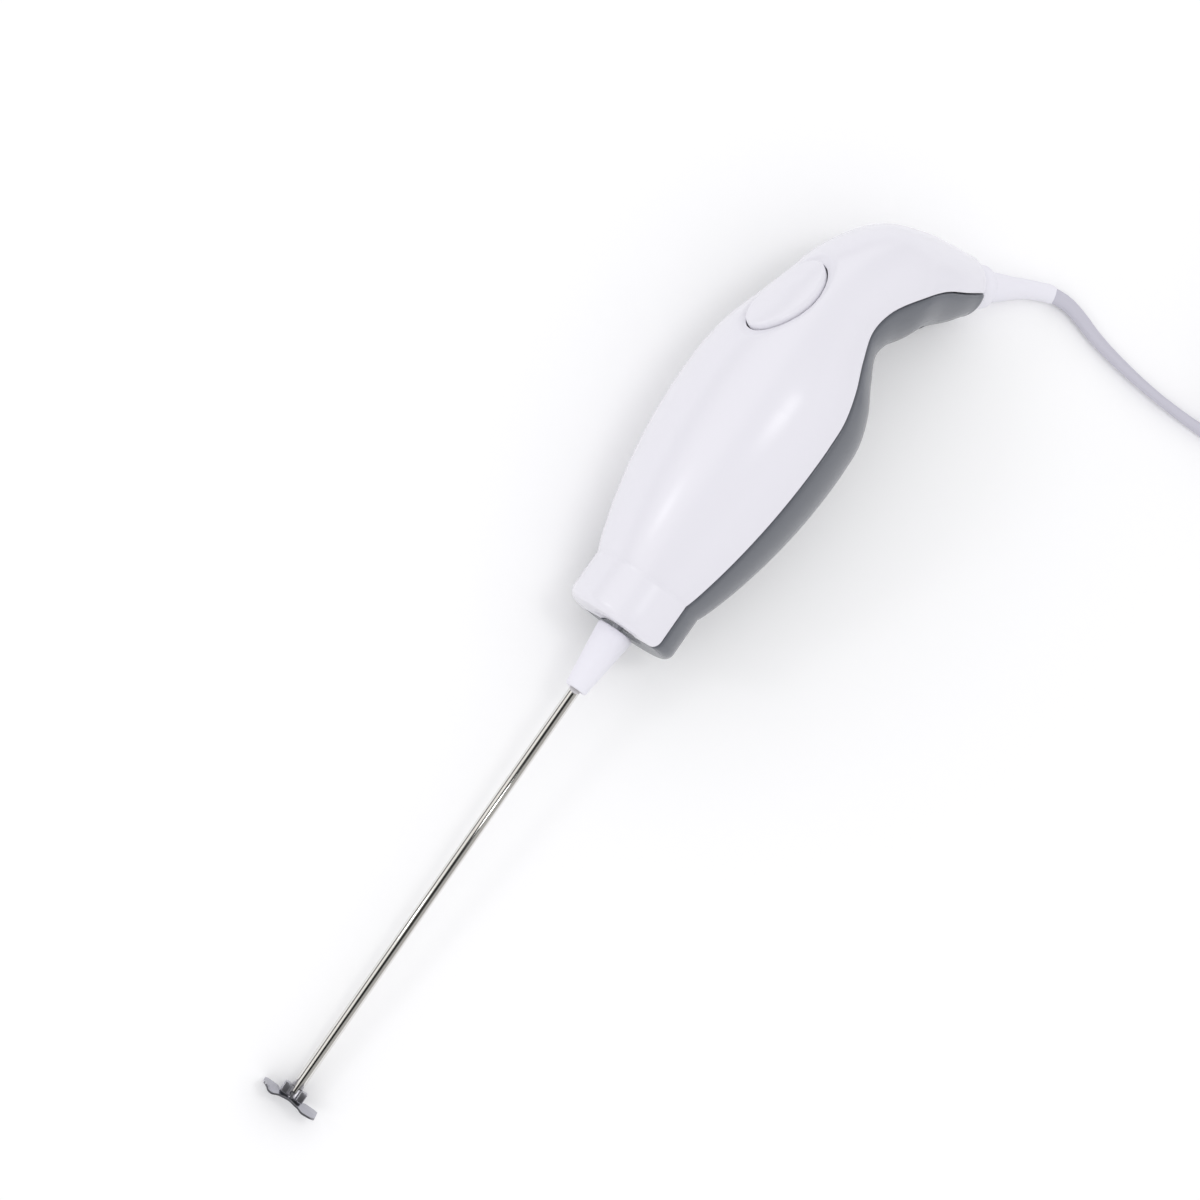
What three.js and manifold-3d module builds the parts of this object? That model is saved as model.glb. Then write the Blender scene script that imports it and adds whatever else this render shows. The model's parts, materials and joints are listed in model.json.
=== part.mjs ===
// Mains-corded milk frother, lying on its side on a table.
//
// The frother is modelled along its own rod: X runs along the rod's axis with 0 at the flat nose
// of the body and + towards the tail, Y points to the thumb button, Z is the remaining side.
// The whole frother is then rolled and pitched into the pose in which it lies still, and the
// lead is laid on the table top, z = 0. Millimetres.

import * as THREE from 'three';
import { LoftGeometry } from 'three/addons/geometries/LoftGeometry.js';
import { mergeVertices } from 'three/addons/utils/BufferGeometryUtils.js';
import Module from 'manifold-3d';

const wasm = await Module();
wasm.setup();

// ---------------------------------------------------------------- driving sizes

const GAP = 0.3;               // clearance between pieces that seat on each other
const WALL = 2;                // wall of both shells
const END_WALL = 3;            // wall across the nose and the tail end
const PARTING = 0.4;           // groove where the two shells meet

const NOSE_RADIUS = 15.2;
const NOSE_LENGTH = 13;        // straight collar behind the nose face
const NOSE_EDGE = 2.4;         // rounding of the nose face's rim
const DISH_RADIUS = 7;         // shallow dish round the shaft
const DISH_DEPTH = 0.7;
const BELLY_RADIUS = 24.2;
const BELLY_SHAPE = 0.85;      // how early the belly swells, 1 is a plain sine
const GRIP_RADIUS = 15;        // the narrow handle behind the button
const TAIL_RADIUS = 8.4;       // at the end of the tail
const TAIL_EDGE = 3.4;

const MOTOR_FRONT = 34;        // motor face behind the nose face
const MOTOR_RADIUS = 16;
const MOTOR_LENGTH = 44;
const MOTOR_SHEET = 1.2;
const CUSHION = 1.8;           // rubber ring between motor and shells
const CUSHION_WIDTH = 4;
const RIB_WIDTH = 5;

const SHAFT_RADIUS = 1.5;
const SHAFT_REACH = 10;        // how far the shaft enters the rod socket
const BEARING_RADIUS = 4;
const BEARING_LENGTH = 4.5;

const SOCKET_STANDOFF = 0.9;   // from the nose face to the socket
const SOCKET_LENGTH = 17.8;
const SOCKET_WIDE = 5;
const SOCKET_NARROW = 3.05;
const ROD_RADIUS = 1.5;
const ROD_LENGTH = 126.8;
const ROD_INSET = 6;           // of the rod in the socket
const HUB = [2.6, 4.4, 6.4];   // along the rod, across, along the blade
const RIVET_RADIUS = 0.9;
const BLADE_SPAN = 15.6;
const BLADE_CHORD = 6.2;
const BLADE_THICK = 0.5;

const BUTTON_BEHIND = 13;      // middle of the button behind the motor's end
const BUTTON_TILT = 17;        // degrees, the way the crest slopes there
const BUTTON_HALF_LENGTH = 12.6;
const BUTTON_HALF_WIDTH = 7.2;
const BUTTON_PROUD = 0.9;
const BUTTON_SLOT = 0.4;       // gap all round the button
const BUTTON_SKIN = 1.2;
const BUTTON_FLANGE = 1.1;
const STEM_RADIUS = 2.2;
const RECESS_HALF_LENGTH = 16;
const RECESS_HALF_WIDTH = 8.5;
const RECESS_DEPTH = 0.8;

const GUIDE_DEPTH = 8;         // below the crest, to the guide's top
const GUIDE_THICK = 1.8;
const SWITCH_DEPTH = 12.4;     // below the crest, to the top of the switch
const SWITCH = [12.8, 5.2, 6.4];
const BOARD = [21, 1.4, 20];
const STEM_SHIFT = 4.5;        // stem and switch behind the button's middle
const BOARD_SHIFT = 9.5;       // board's middle behind the button's

const SCREW_RADIUS = 1.2;
const SCREW_HEAD = 2.4;
const SCREW_HEAD_HEIGHT = 1.6;
const BOSS_RADIUS = 3;
const NOSE_SCREW_AT = 21;
const NOSE_SCREW_SIDE = 10.6;
const TAIL_SCREW_SIDE = 7.4;

const CORD_THICK = 2.8;
const CORD_WIDE = 4.2;
const WIRE_RADIUS = 0.7;
const COIL_MIDDLE = 23;        // radius of the middle of the stored coil's turns
const COIL_ACROSS = 13.4;
const COIL_HEIGHT = 10.6;
const PLUG = [35.3, 36, 13.7]; // across the pins, body length, thickness
const PIN_RADIUS = 2;
const PIN_LENGTH = 19;
const PIN_SPACING = 19;

const ROLL = 40;               // degrees, the pose in which the frother lies still
const PITCH = 5.85;
const WHISK_TURN = 46;         // degrees, how far the blade has turned from level with Z

const RING_SIDES = 28;
const TURN_SIDES = 24;
const BIG = 80;                // reach of a cutting block past everything it cuts

const MOTOR_END = MOTOR_FRONT + MOTOR_LENGTH;
const BUTTON_AT = MOTOR_END + BUTTON_BEHIND;
const rad = THREE.MathUtils.degToRad;
const vec = (x, y, z) => new THREE.Vector3(x, y, z);

// ---------------------------------------------------------------- materials

const finish = (color, roughness, metalness = 0) =>
  new THREE.MeshStandardMaterial({ color, roughness, metalness });
const WHITE = finish(0xe8e6ee, 0.22);
const GREY = finish(0x676a70, 0.25);
const SATIN_WHITE = finish(0xebe9f2, 0.4);
const STEEL = finish(0xc4c4c6, 0.12, 1);
const DULL_STEEL = finish(0x9a9ca0, 0.4, 1);
const BRONZE = finish(0xa9793f, 0.45, 1);
const COPPER = finish(0xb56a3c, 0.35, 1);
const FERRITE = finish(0x34343a, 0.6);
const RUBBER = finish(0xc6c5d0, 0.65);
const DARK_RUBBER = finish(0x2a2a2c, 0.7);
const NYLON = finish(0xd9d6c8, 0.5);
const BLACK_PLASTIC = finish(0x1d1d20, 0.45);
const BOARD_GREEN = finish(0x2f6b45, 0.5);
const WIRE_RED = finish(0xa62a2a, 0.5);
const WIRE_BLUE = finish(0x2f4ea0, 0.5);
const BROWN = finish(0x6a4228, 0.5);

// ---------------------------------------------------------------- solids

function solid(geometry) {
  if (!geometry.isBufferGeometry) return geometry;
  const bare = new THREE.BufferGeometry();
  bare.setAttribute('position', geometry.getAttribute('position'));
  bare.setIndex(geometry.index);
  const merged = mergeVertices(bare, 1e-4);
  const corners = merged.index.array;
  const triVerts = [];
  for (let i = 0; i < corners.length; i += 3) {
    const [a, b, c] = corners.slice(i, i + 3);
    if (a !== b && b !== c && c !== a) triVerts.push(a, b, c);
  }
  const vertProperties = new Float32Array(merged.getAttribute('position').array);
  return new wasm.Manifold(new wasm.Mesh({
    numProp: 3, vertProperties, triVerts: new Uint32Array(triVerts),
  }));
}

function skin(manifold) {
  const mesh = manifold.getMesh();
  const geometry = new THREE.BufferGeometry();
  geometry.setAttribute('position', new THREE.BufferAttribute(mesh.vertProperties, mesh.numProp));
  geometry.setIndex(new THREE.BufferAttribute(mesh.triVerts, 1));
  geometry.computeVertexNormals();
  return geometry;
}

const joined = (...shapes) => shapes.map(solid).reduce((whole, next) => whole.add(next));

const cut = (shape, ...cutters) =>
  cutters.map(solid).reduce((whole, next) => whole.subtract(next), solid(shape));

const common = (first, second) => solid(first).intersect(solid(second));

function piece(name, shape, material, x = 0, y = 0, z = 0) {
  const mesh = new THREE.Mesh(shape.isBufferGeometry ? shape : skin(shape), material);
  mesh.name = name;
  mesh.position.set(x, y, z);
  return mesh;
}

// A turned part along X from [x, radius] pairs; a ring's outline closes on itself.
function turned(outline, sides = TURN_SIDES) {
  const points = outline.map(([x, radius]) => new THREE.Vector2(radius, x));
  return new THREE.LatheGeometry(points, sides).rotateZ(-Math.PI / 2);
}

const rod = (from, to, radius, sides) =>
  turned([[from, 0], [from, radius], [to, radius], [to, 0]], sides);

const ring = (from, to, inner, outer, sides) =>
  turned([[from, inner], [from, outer], [to, outer], [to, inner], [from, inner]], sides);

// A block of the given size with its middle at x, y, z.
const block = ([long, high, deep], x = 0, y = 0, z = 0) =>
  new THREE.BoxGeometry(long, high, deep).translate(x, y, z);

// A post along Y from one height to another.
const post = (from, to, radius, x = 0, z = 0, sides = 16) =>
  rod(from, to, radius, sides).rotateZ(Math.PI / 2).translate(x, 0, z);

// An oval prism along Y.
function ovalPrism(halfLength, halfWidth, from, to) {
  const outline = new THREE.Shape().absellipse(0, 0, halfLength, halfWidth, 0, 2 * Math.PI);
  const depth = to - from;
  return new THREE.ExtrudeGeometry(outline, { depth, bevelEnabled: false, curveSegments: 14 })
    .rotateX(-Math.PI / 2).translate(0, from, 0);
}

// ---------------------------------------------------------------- the body's form

// Stations of the handle behind the motor: how far behind the motor's end, height over the
// rod's axis, radius, and the lean of the section there in degrees.
const HANDLE = [
  [-6, 0.1, BELLY_RADIUS - 0.4, 0],
  [2, 0.9, BELLY_RADIUS - 2.3, 2],
  [10, 1.6, GRIP_RADIUS + 3.5, 8],
  [18, 1.8, GRIP_RADIUS + 0.7, 18],
  [25, -0.3, GRIP_RADIUS + 0.2, 28],
  [34.5, -7.8, GRIP_RADIUS, 46],
  [40.8, -15.8, TAIL_RADIUS + 4.3, 54],
  [45.8, -25.2, TAIL_RADIUS + 2, 58],
  [49.2, -31.5, TAIL_RADIUS, 60],
];
const BELLY_AT = MOTOR_END - 14;
const HANDLE_STEPS = 16;
const FLARE_STEPS = 7;
const EDGE_STEPS = 3;

function station(along, rise, radius, lean) {
  return { along, rise, radius, lean: rad(lean) };
}

// The tail's last station, moved on along its own lean.
function pastTail(distance, radius) {
  const [behind, rise, , lean] = HANDLE.at(-1);
  const along = MOTOR_END + behind + distance * Math.cos(rad(lean));
  return station(along, rise - distance * Math.sin(rad(lean)), radius, lean);
}

// Sections of the body, drawn in by inset on every side.
function bodyStations(inset, endInset) {
  const stations = [];
  const noseEdge = Math.max(NOSE_EDGE - inset, 0.4);
  for (let i = 0; i <= EDGE_STEPS; i++) {
    const turn = (Math.PI / 2) * (i / EDGE_STEPS);
    const along = endInset + noseEdge * (1 - Math.cos(turn));
    stations.push(station(along, 0, NOSE_RADIUS - inset - noseEdge * (1 - Math.sin(turn)), 0));
  }
  for (let i = 0; i < FLARE_STEPS; i++) {
    const share = i / FLARE_STEPS;
    const swell = Math.sin((Math.PI / 2) * share ** BELLY_SHAPE);
    const radius = NOSE_RADIUS + (BELLY_RADIUS - NOSE_RADIUS) * swell - inset;
    const along = NOSE_LENGTH + (BELLY_AT - NOSE_LENGTH) * share;
    stations.push(station(along, 0, radius, 0));
  }
  const spine = [vec(BELLY_AT, 0, BELLY_RADIUS)];
  const leans = [vec(0, 0, 0)];
  for (const [behind, rise, radius, lean] of HANDLE) {
    spine.push(vec(MOTOR_END + behind, rise, radius));
    leans.push(vec(lean, 0, 0));
  }
  const spineCurve = new THREE.CatmullRomCurve3(spine);
  const leanCurve = new THREE.CatmullRomCurve3(leans, false, 'catmullrom');
  for (let i = 0; i <= HANDLE_STEPS; i++) {
    const at = spineCurve.getPoint(i / HANDLE_STEPS);
    stations.push(station(at.x, at.y, at.z - inset, leanCurve.getPoint(i / HANDLE_STEPS).x));
  }
  const deep = Math.max(TAIL_EDGE - endInset, 0.2);
  for (let i = 1; i <= EDGE_STEPS; i++) {
    const turn = (Math.PI / 2) * (i / EDGE_STEPS);
    const radius = TAIL_RADIUS - inset - (TAIL_EDGE - inset) * (1 - Math.cos(turn));
    stations.push(pastTail(deep * Math.sin(turn), radius));
  }
  return stations;
}

// A point of a section: out from its middle at an angle from the crest.
function onSection({ along, rise, lean }, radius, angle) {
  const up = radius * Math.cos(angle);
  return vec(along + up * Math.sin(lean), rise + up * Math.cos(lean), radius * Math.sin(angle));
}

function bodyForm(inset, endInset = inset) {
  const sections = bodyStations(inset, endInset).map((at) => {
    const points = [];
    for (let i = 0; i < RING_SIDES; i++) {
      points.push(onSection(at, at.radius, (2 * Math.PI * i) / RING_SIDES));
    }
    return points;
  });
  return new LoftGeometry(sections, { capStart: true, capEnd: true });
}

// Height of the body's crest over the rod's axis.
function crestRise(along) {
  const crest = bodyStations(0, 0).map((at) => onSection(at, at.radius, 0));
  const next = crest.findIndex((point) => point.x > along);
  const [a, b] = [crest[next - 1], crest[next]];
  return THREE.MathUtils.mapLinear(along, a.x, b.x, a.y, b.y);
}

// The block on one side of the surface where the shells part, +1 the button's side.
function halfSpace(side) {
  const offset = (side * PARTING) / 2;
  const line = bodyStations(0, 0).slice(EDGE_STEPS, -EDGE_STEPS)
    .map((at) => onSection(at, offset, 0));
  line.unshift(vec(-BIG, offset, 0));
  const end = pastTail(BIG, 0);
  line.push(onSection(end, offset, 0));
  if (side > 0) line.push(vec(end.along + BIG, BIG, 0), vec(-BIG, BIG, 0));
  else line.push(vec(-BIG, end.rise, 0));
  const outline = new THREE.Shape(line.map(({ x, y }) => new THREE.Vector2(x, y)));
  return new THREE.ExtrudeGeometry(outline, { depth: BIG, bevelEnabled: false })
    .translate(0, 0, -BIG / 2);
}

// Places in the handle are given from a frame on the crest under the button: Y is outwards.
const buttonPlace = new THREE.Matrix4()
  .makeRotationZ(-rad(BUTTON_TILT)).setPosition(BUTTON_AT, crestRise(BUTTON_AT), 0);
const inButtonPlace = (geometry) => geometry.applyMatrix4(buttonPlace);

// Places in the tail are given from a frame on the middle of its end face: X is outwards.
const tailFace = pastTail(TAIL_EDGE, 0);
const tailPlace = new THREE.Matrix4()
  .makeRotationZ(-tailFace.lean).setPosition(tailFace.along, tailFace.rise, 0);
const inTailPlace = (geometry) => geometry.applyMatrix4(tailPlace);

// ---------------------------------------------------------------- shells

const CUSHION_OUTER = MOTOR_RADIUS + GAP + CUSHION;
const CUSHION_AT = [MOTOR_FRONT + 5, MOTOR_END - 5];
const NECK_RADIUS = TAIL_RADIUS - 4;  // of the strain relief where it passes the tail wall
const FLANGE_THICK = 1.6;      // of the strain relief, inside the tail
const SEAL_RADIUS = 5;
const SEAL_LENGTH = 3;
const TAIL_SCREW_BACK = 25;    // in from the tail's end face
const CLAMP_BACK = 13;
const CLAMP_SCREW = 0.9;
const CLAMP_SIDE = CORD_WIDE / 2 + CLAMP_SCREW + 2 * GAP;
const LEAD_TAIL = 4;           // of the lead past the clamp's middle

// Screws run along Y from the grey side; each has a place, a level for its head and a tip.
const noseScrews = [1, -1].map((side) => ({
  place: new THREE.Matrix4().setPosition(NOSE_SCREW_AT, 0, side * NOSE_SCREW_SIDE),
  head: -10.5, tip: 7,
}));
const tailScrews = [1, -1].map((side) => ({
  place: tailPlace.clone().multiply(
    new THREE.Matrix4().setPosition(-TAIL_SCREW_BACK, 0, side * TAIL_SCREW_SIDE)),
  head: -7.6, tip: 6,
}));
const screws = [...noseScrews, ...tailScrews];

function hollowBody() {
  const cavity = bodyForm(WALL, END_WALL);
  const reach = bodyForm(WALL / 2, WALL);
  const ribs = CUSHION_AT.map((at) =>
    common(ring(at - RIB_WIDTH / 2, at + RIB_WIDTH / 2, CUSHION_OUTER + GAP, 2 * BELLY_RADIUS),
      reach));
  const sealSeat = ring(WALL, END_WALL + GAP + SEAL_LENGTH, SEAL_RADIUS + GAP, SEAL_RADIUS + 2);
  const bosses = screws.map(({ place }) =>
    common(post(-BIG, BIG, BOSS_RADIUS).applyMatrix4(place), reach));
  const clampPosts = [1, -1].map((side) => common(reach,
    inTailPlace(post(-BIG, -CORD_THICK / 2 - GAP, 2.2, -CLAMP_BACK, side * CLAMP_SIDE, 14))));
  return joined(cut(bodyForm(0), cavity), ...ribs, sealSeat, ...bosses, ...clampPosts);
}

function shellCutters() {
  return [
    rod(-GAP, DISH_DEPTH, DISH_RADIUS),
    rod(-GAP, END_WALL + GAP, SHAFT_RADIUS + 2 * GAP, 20),
    inTailPlace(rod(-BIG / 4, GAP, NECK_RADIUS + GAP, 20)),
    ...[1, -1].map((side) => inTailPlace(
      post(-8, 0, CLAMP_SCREW + GAP, -CLAMP_BACK, side * CLAMP_SIDE, 12))),
    ...screws.flatMap(({ place, head, tip }) => [
      post(-BIG, head + GAP, SCREW_HEAD + GAP).applyMatrix4(place),
      post(head, tip + GAP, SCREW_RADIUS + GAP, 0, 0, 14).applyMatrix4(place)]),
  ];
}

const CREST_REACH = 10;        // of a cut round the button, above and below the crest

function buttonCutters() {
  const recess = cut(inButtonPlace(
    ovalPrism(RECESS_HALF_LENGTH, RECESS_HALF_WIDTH, -CREST_REACH, CREST_REACH)),
  bodyForm(RECESS_DEPTH));
  const opening = inButtonPlace(ovalPrism(BUTTON_HALF_LENGTH + BUTTON_SLOT,
    BUTTON_HALF_WIDTH + BUTTON_SLOT, -CREST_REACH, CREST_REACH));
  return [recess, opening];
}

function shells() {
  const body = cut(hollowBody(), ...shellCutters());
  return [
    piece('top_shell', cut(common(body, halfSpace(1)), ...buttonCutters()), WHITE),
    piece('rear_shell', common(body, halfSpace(-1)), GREY),
  ];
}

function shellScrews() {
  return screws.map(({ place, head, tip }, i) => {
    const screw = joined(post(head - SCREW_HEAD_HEIGHT, head, SCREW_HEAD).applyMatrix4(place),
      post(head - GAP, tip, SCREW_RADIUS, 0, 0, 14).applyMatrix4(place));
    return piece(`shell_screw_${i + 1}`, screw, DULL_STEEL);
  });
}

// ---------------------------------------------------------------- motor

const CAN_INNER = MOTOR_RADIUS - MOTOR_SHEET;
const MAGNET_THICK = 2.8;
const CORE_RADIUS = CAN_INNER - GAP - MAGNET_THICK - GAP;
const CORE_FROM = 10;
const CORE_TO = MOTOR_LENGTH - 12;
const SLOTS = 6;
const SLOT_WIDTH = 2.6;
const SLOT_FLOOR = 5.2;
const WIRE_THICK = 4;
const COMMUTATOR_RADIUS = 5;
const COMMUTATOR_LENGTH = 6;
const BORE = SHAFT_RADIUS + GAP;
const BOSS_BORE = BEARING_RADIUS + GAP;

function motorCan() {
  const boss = BEARING_LENGTH - MOTOR_SHEET;
  return turned([
    [-boss, BOSS_BORE], [-boss, BOSS_BORE + 1.8], [0, BOSS_BORE + 1.8], [0, MOTOR_RADIUS],
    [MOTOR_LENGTH, MOTOR_RADIUS], [MOTOR_LENGTH, CAN_INNER], [MOTOR_SHEET, CAN_INNER],
    [MOTOR_SHEET, BOSS_BORE], [-boss, BOSS_BORE]]);
}

function motorEndCap() {
  const from = MOTOR_LENGTH + GAP;
  const to = from + BEARING_LENGTH;
  return turned([
    [from, BOSS_BORE], [from, MOTOR_RADIUS - 0.4], [from + 1.8, MOTOR_RADIUS - 0.4],
    [from + 1.8, BOSS_BORE + 1.8], [to, BOSS_BORE + 1.8], [to, BOSS_BORE], [from, BOSS_BORE]]);
}

function magnet(middle) {
  const outer = CAN_INNER - GAP;
  const inner = outer - MAGNET_THICK;
  const half = rad(62);
  const shape = new THREE.Shape();
  shape.absarc(0, 0, outer, middle - half, middle + half);
  shape.absarc(0, 0, inner, middle + half, middle - half, true);
  const depth = CORE_TO - CORE_FROM + 4;
  return new THREE.ExtrudeGeometry(shape, { depth, bevelEnabled: false, curveSegments: 16 })
    .rotateY(Math.PI / 2).translate(CORE_FROM - 2, 0, 0);
}

const aroundX = (geometry, i, count) => geometry.rotateX((2 * Math.PI * i) / count);

function armatureCore() {
  const slots = [];
  for (let i = 0; i < SLOTS; i++) {
    slots.push(aroundX(block([2 * BIG, BIG, SLOT_WIDTH], 0, SLOT_FLOOR + BIG / 2), i, SLOTS));
  }
  return cut(ring(CORE_FROM, CORE_TO, BORE, CORE_RADIUS), ...slots);
}

function armatureWinding() {
  const inner = SLOT_FLOOR + GAP;
  const outer = CORE_RADIUS - 0.8;
  const front = ring(CORE_FROM - GAP - WIRE_THICK, CORE_FROM - GAP, inner - 1, outer);
  const rear = ring(CORE_TO + GAP, CORE_TO + GAP + WIRE_THICK, inner - 1, outer);
  const bars = [];
  const long = CORE_TO - CORE_FROM + WIRE_THICK;
  for (let i = 0; i < SLOTS; i++) {
    const bar = block([long, outer - inner - 0.4, SLOT_WIDTH - 2 * GAP],
      (CORE_FROM + CORE_TO) / 2, (outer + inner) / 2);
    bars.push(aroundX(bar, i, SLOTS));
  }
  return joined(front, rear, ...bars);
}

function commutator() {
  const from = CORE_TO + WIRE_THICK + 2 * GAP;
  const cuts = [];
  for (let i = 0; i < SLOTS; i++) {
    cuts.push(aroundX(block([BIG, 2, 0.5], BIG / 2 + from - 1, COMMUTATOR_RADIUS), i, SLOTS));
  }
  return cut(ring(from, from + COMMUTATOR_LENGTH, BORE, COMMUTATOR_RADIUS), ...cuts);
}

const BRUSH = [4, 6.5, 4];
const BRUSH_AT = CORE_TO + WIRE_THICK + 2 * GAP + COMMUTATOR_LENGTH / 2;

function brushes() {
  const height = COMMUTATOR_RADIUS + GAP + BRUSH[1] / 2;
  const [long, high, deep] = BRUSH;
  const wide = long + 2 * GAP;
  return [['upper', 1], ['lower', -1]].flatMap(([where, side]) => [
    piece(`brush_${where}`, block(BRUSH, BRUSH_AT, side * height), FERRITE),
    piece(`brush_holder_${where}`, cut(
      block([wide + 1.2, high - 2.5, deep + 2 * GAP + 1.2], BRUSH_AT, side * (height + 0.6)),
      block([wide, 2 * high, deep + 2 * GAP], BRUSH_AT, side * height)), BRONZE),
  ]);
}

function motor() {
  const group = new THREE.Group();
  group.position.x = MOTOR_FRONT;
  const bearing = () => ring(0, BEARING_LENGTH - GAP, BORE, BEARING_RADIUS, 24);
  const cushion = () => ring(0, CUSHION_WIDTH, MOTOR_RADIUS + GAP, CUSHION_OUTER);
  const cushionAt = CUSHION_AT.map((at) => at - MOTOR_FRONT - CUSHION_WIDTH / 2);
  const shaft = rod(-MOTOR_FRONT - SOCKET_STANDOFF - SHAFT_REACH,
    MOTOR_LENGTH + BEARING_LENGTH + 1, SHAFT_RADIUS, 20);
  group.add(
    piece('motor_can', motorCan(), DULL_STEEL),
    piece('motor_end_cap', motorEndCap(), BLACK_PLASTIC),
    piece('magnet_upper', magnet(Math.PI / 2), FERRITE),
    piece('magnet_lower', magnet(-Math.PI / 2), FERRITE),
    piece('armature_core', armatureCore(), DULL_STEEL),
    piece('armature_winding', armatureWinding(), COPPER),
    piece('commutator', commutator(), COPPER),
    piece('motor_shaft', shaft, STEEL),
    piece('front_bearing', bearing(), BRONZE, MOTOR_SHEET - BEARING_LENGTH + GAP),
    piece('rear_bearing', bearing(), BRONZE, MOTOR_LENGTH + GAP),
    piece('front_cushion', cushion(), DARK_RUBBER, cushionAt[0]),
    piece('rear_cushion', cushion(), DARK_RUBBER, cushionAt[1]),
    ...brushes());
  return group;
}

const noseSeal = () => piece('nose_seal',
  ring(END_WALL + GAP, END_WALL + GAP + SEAL_LENGTH, BORE, SEAL_RADIUS, 24), DARK_RUBBER);

// ---------------------------------------------------------------- whisk

const SOCKET_END = -SOCKET_STANDOFF - SOCKET_LENGTH;
const ROD_FROM = SOCKET_END + ROD_INSET;
const ROD_TO = ROD_FROM - ROD_LENGTH;

function rodSocket() {
  const lip = 0.6;
  const from = SOCKET_END;
  const to = -SOCKET_STANDOFF;
  const cone = turned([
    [from, 0], [from, SOCKET_NARROW - lip], [from + lip, SOCKET_NARROW],
    [from + 2 * lip, SOCKET_NARROW], [to - 1, SOCKET_WIDE], [to, SOCKET_WIDE - 0.3], [to, 0]]);
  return cut(cone,
    rod(to - SHAFT_REACH - GAP, to + 1, SHAFT_RADIUS + GAP, 20),
    rod(from - 1, ROD_FROM + GAP, ROD_RADIUS + GAP, 20));
}

// The hub is a block on the rod's end, with a channel and a small cross hole in its near side,
// and a rivet that holds the blade under it.
function whiskHub() {
  const [long, across, wide] = HUB;
  const half = across / 2;
  const rivetHead = 0.35;
  const under = long + 2 * GAP + BLADE_THICK;
  const rivet = turned([
    [-under - rivetHead, 0], [-under - rivetHead, RIVET_RADIUS + 0.2],
    [-under, RIVET_RADIUS + 0.5], [-under, RIVET_RADIUS], [-long / 2, RIVET_RADIUS],
    [-long / 2, 0]], 16);
  const channel = rod(-2 * long, long, 1.3, 12).translate(0, half + 0.6, 0);
  const crossHole = post(0, across, 0.55, -long * 0.7, 0, 12);
  return cut(joined(block(HUB, -long / 2), rivet),
    rod(-long / 2 - GAP, 1, ROD_RADIUS + GAP, 16), channel, crossHole);
}

// How far the blade's near edge hangs down, from [share of the span, drop] pairs.
const BLADE_DROPS = [
  [-0.5, -0.6], [-0.43, -0.3], [-0.31, 0.6], [-0.17, 0.4], [0, 0.1], [0.16, 0.45],
  [0.3, 0.5], [0.5, 0.2],
];

// A thin blade along Z, with one edge bent down in shallow waves.
function frothBlade() {
  const drops = new THREE.CatmullRomCurve3(
    BLADE_DROPS.map(([share, drop]) => vec(0, -drop, BLADE_SPAN * share)));
  const [half, t] = [BLADE_CHORD / 2, BLADE_THICK / 2];
  const sections = drops.getPoints(24).map(({ y: drop, z }) => [
    vec(-t, -half, z), vec(t, -half, z), vec(t, half * 0.3, z), vec(drop + t, half, z),
    vec(drop - t, half, z), vec(-t, half * 0.3, z)]);
  const strip = new LoftGeometry(sections, { capStart: true, capEnd: true });
  return cut(strip, rod(-3, 3, RIVET_RADIUS + GAP, 16));
}

function whisk() {
  const [hubLong] = HUB;
  const hubAt = ROD_TO + hubLong / 2;
  const bladeAt = hubAt - hubLong - GAP - BLADE_THICK / 2;
  const group = new THREE.Group();
  group.rotation.x = rad(WHISK_TURN);
  group.add(
    piece('rod_socket', rodSocket(), SATIN_WHITE),
    piece('whisk_rod', rod(ROD_TO, ROD_FROM, ROD_RADIUS, 24), STEEL),
    piece('whisk_hub', whiskHub(), STEEL, hubAt),
    piece('froth_blade', frothBlade(), STEEL, bladeAt));
  return group;
}

// ---------------------------------------------------------------- button and switch

function button() {
  const flangeAt = WALL + GAP;
  const floor = flangeAt + BUTTON_SKIN;
  const prism = (grow) => inButtonPlace(ovalPrism(
    BUTTON_HALF_LENGTH + grow, BUTTON_HALF_WIDTH + grow, -CREST_REACH, CREST_REACH));
  const cap = cut(common(prism(0), bodyForm(-BUTTON_PROUD)), bodyForm(floor));
  const flange = cut(common(prism(BUTTON_FLANGE), bodyForm(flangeAt)), bodyForm(floor));
  const stem = inButtonPlace(post(-SWITCH_DEPTH + 2.2, -WALL, STEM_RADIUS, STEM_SHIFT));
  return piece('button', joined(cap, flange, stem), WHITE);
}

function buttonGuide() {
  const plate = inButtonPlace(
    ovalPrism(8, 9.6, -GUIDE_DEPTH - GUIDE_THICK, -GUIDE_DEPTH).translate(STEM_SHIFT, 0, 0));
  const hole = inButtonPlace(post(-BIG, BIG, STEM_RADIUS + GAP, STEM_SHIFT));
  return piece('button_guide', cut(plate, hole), NYLON);
}

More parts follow.
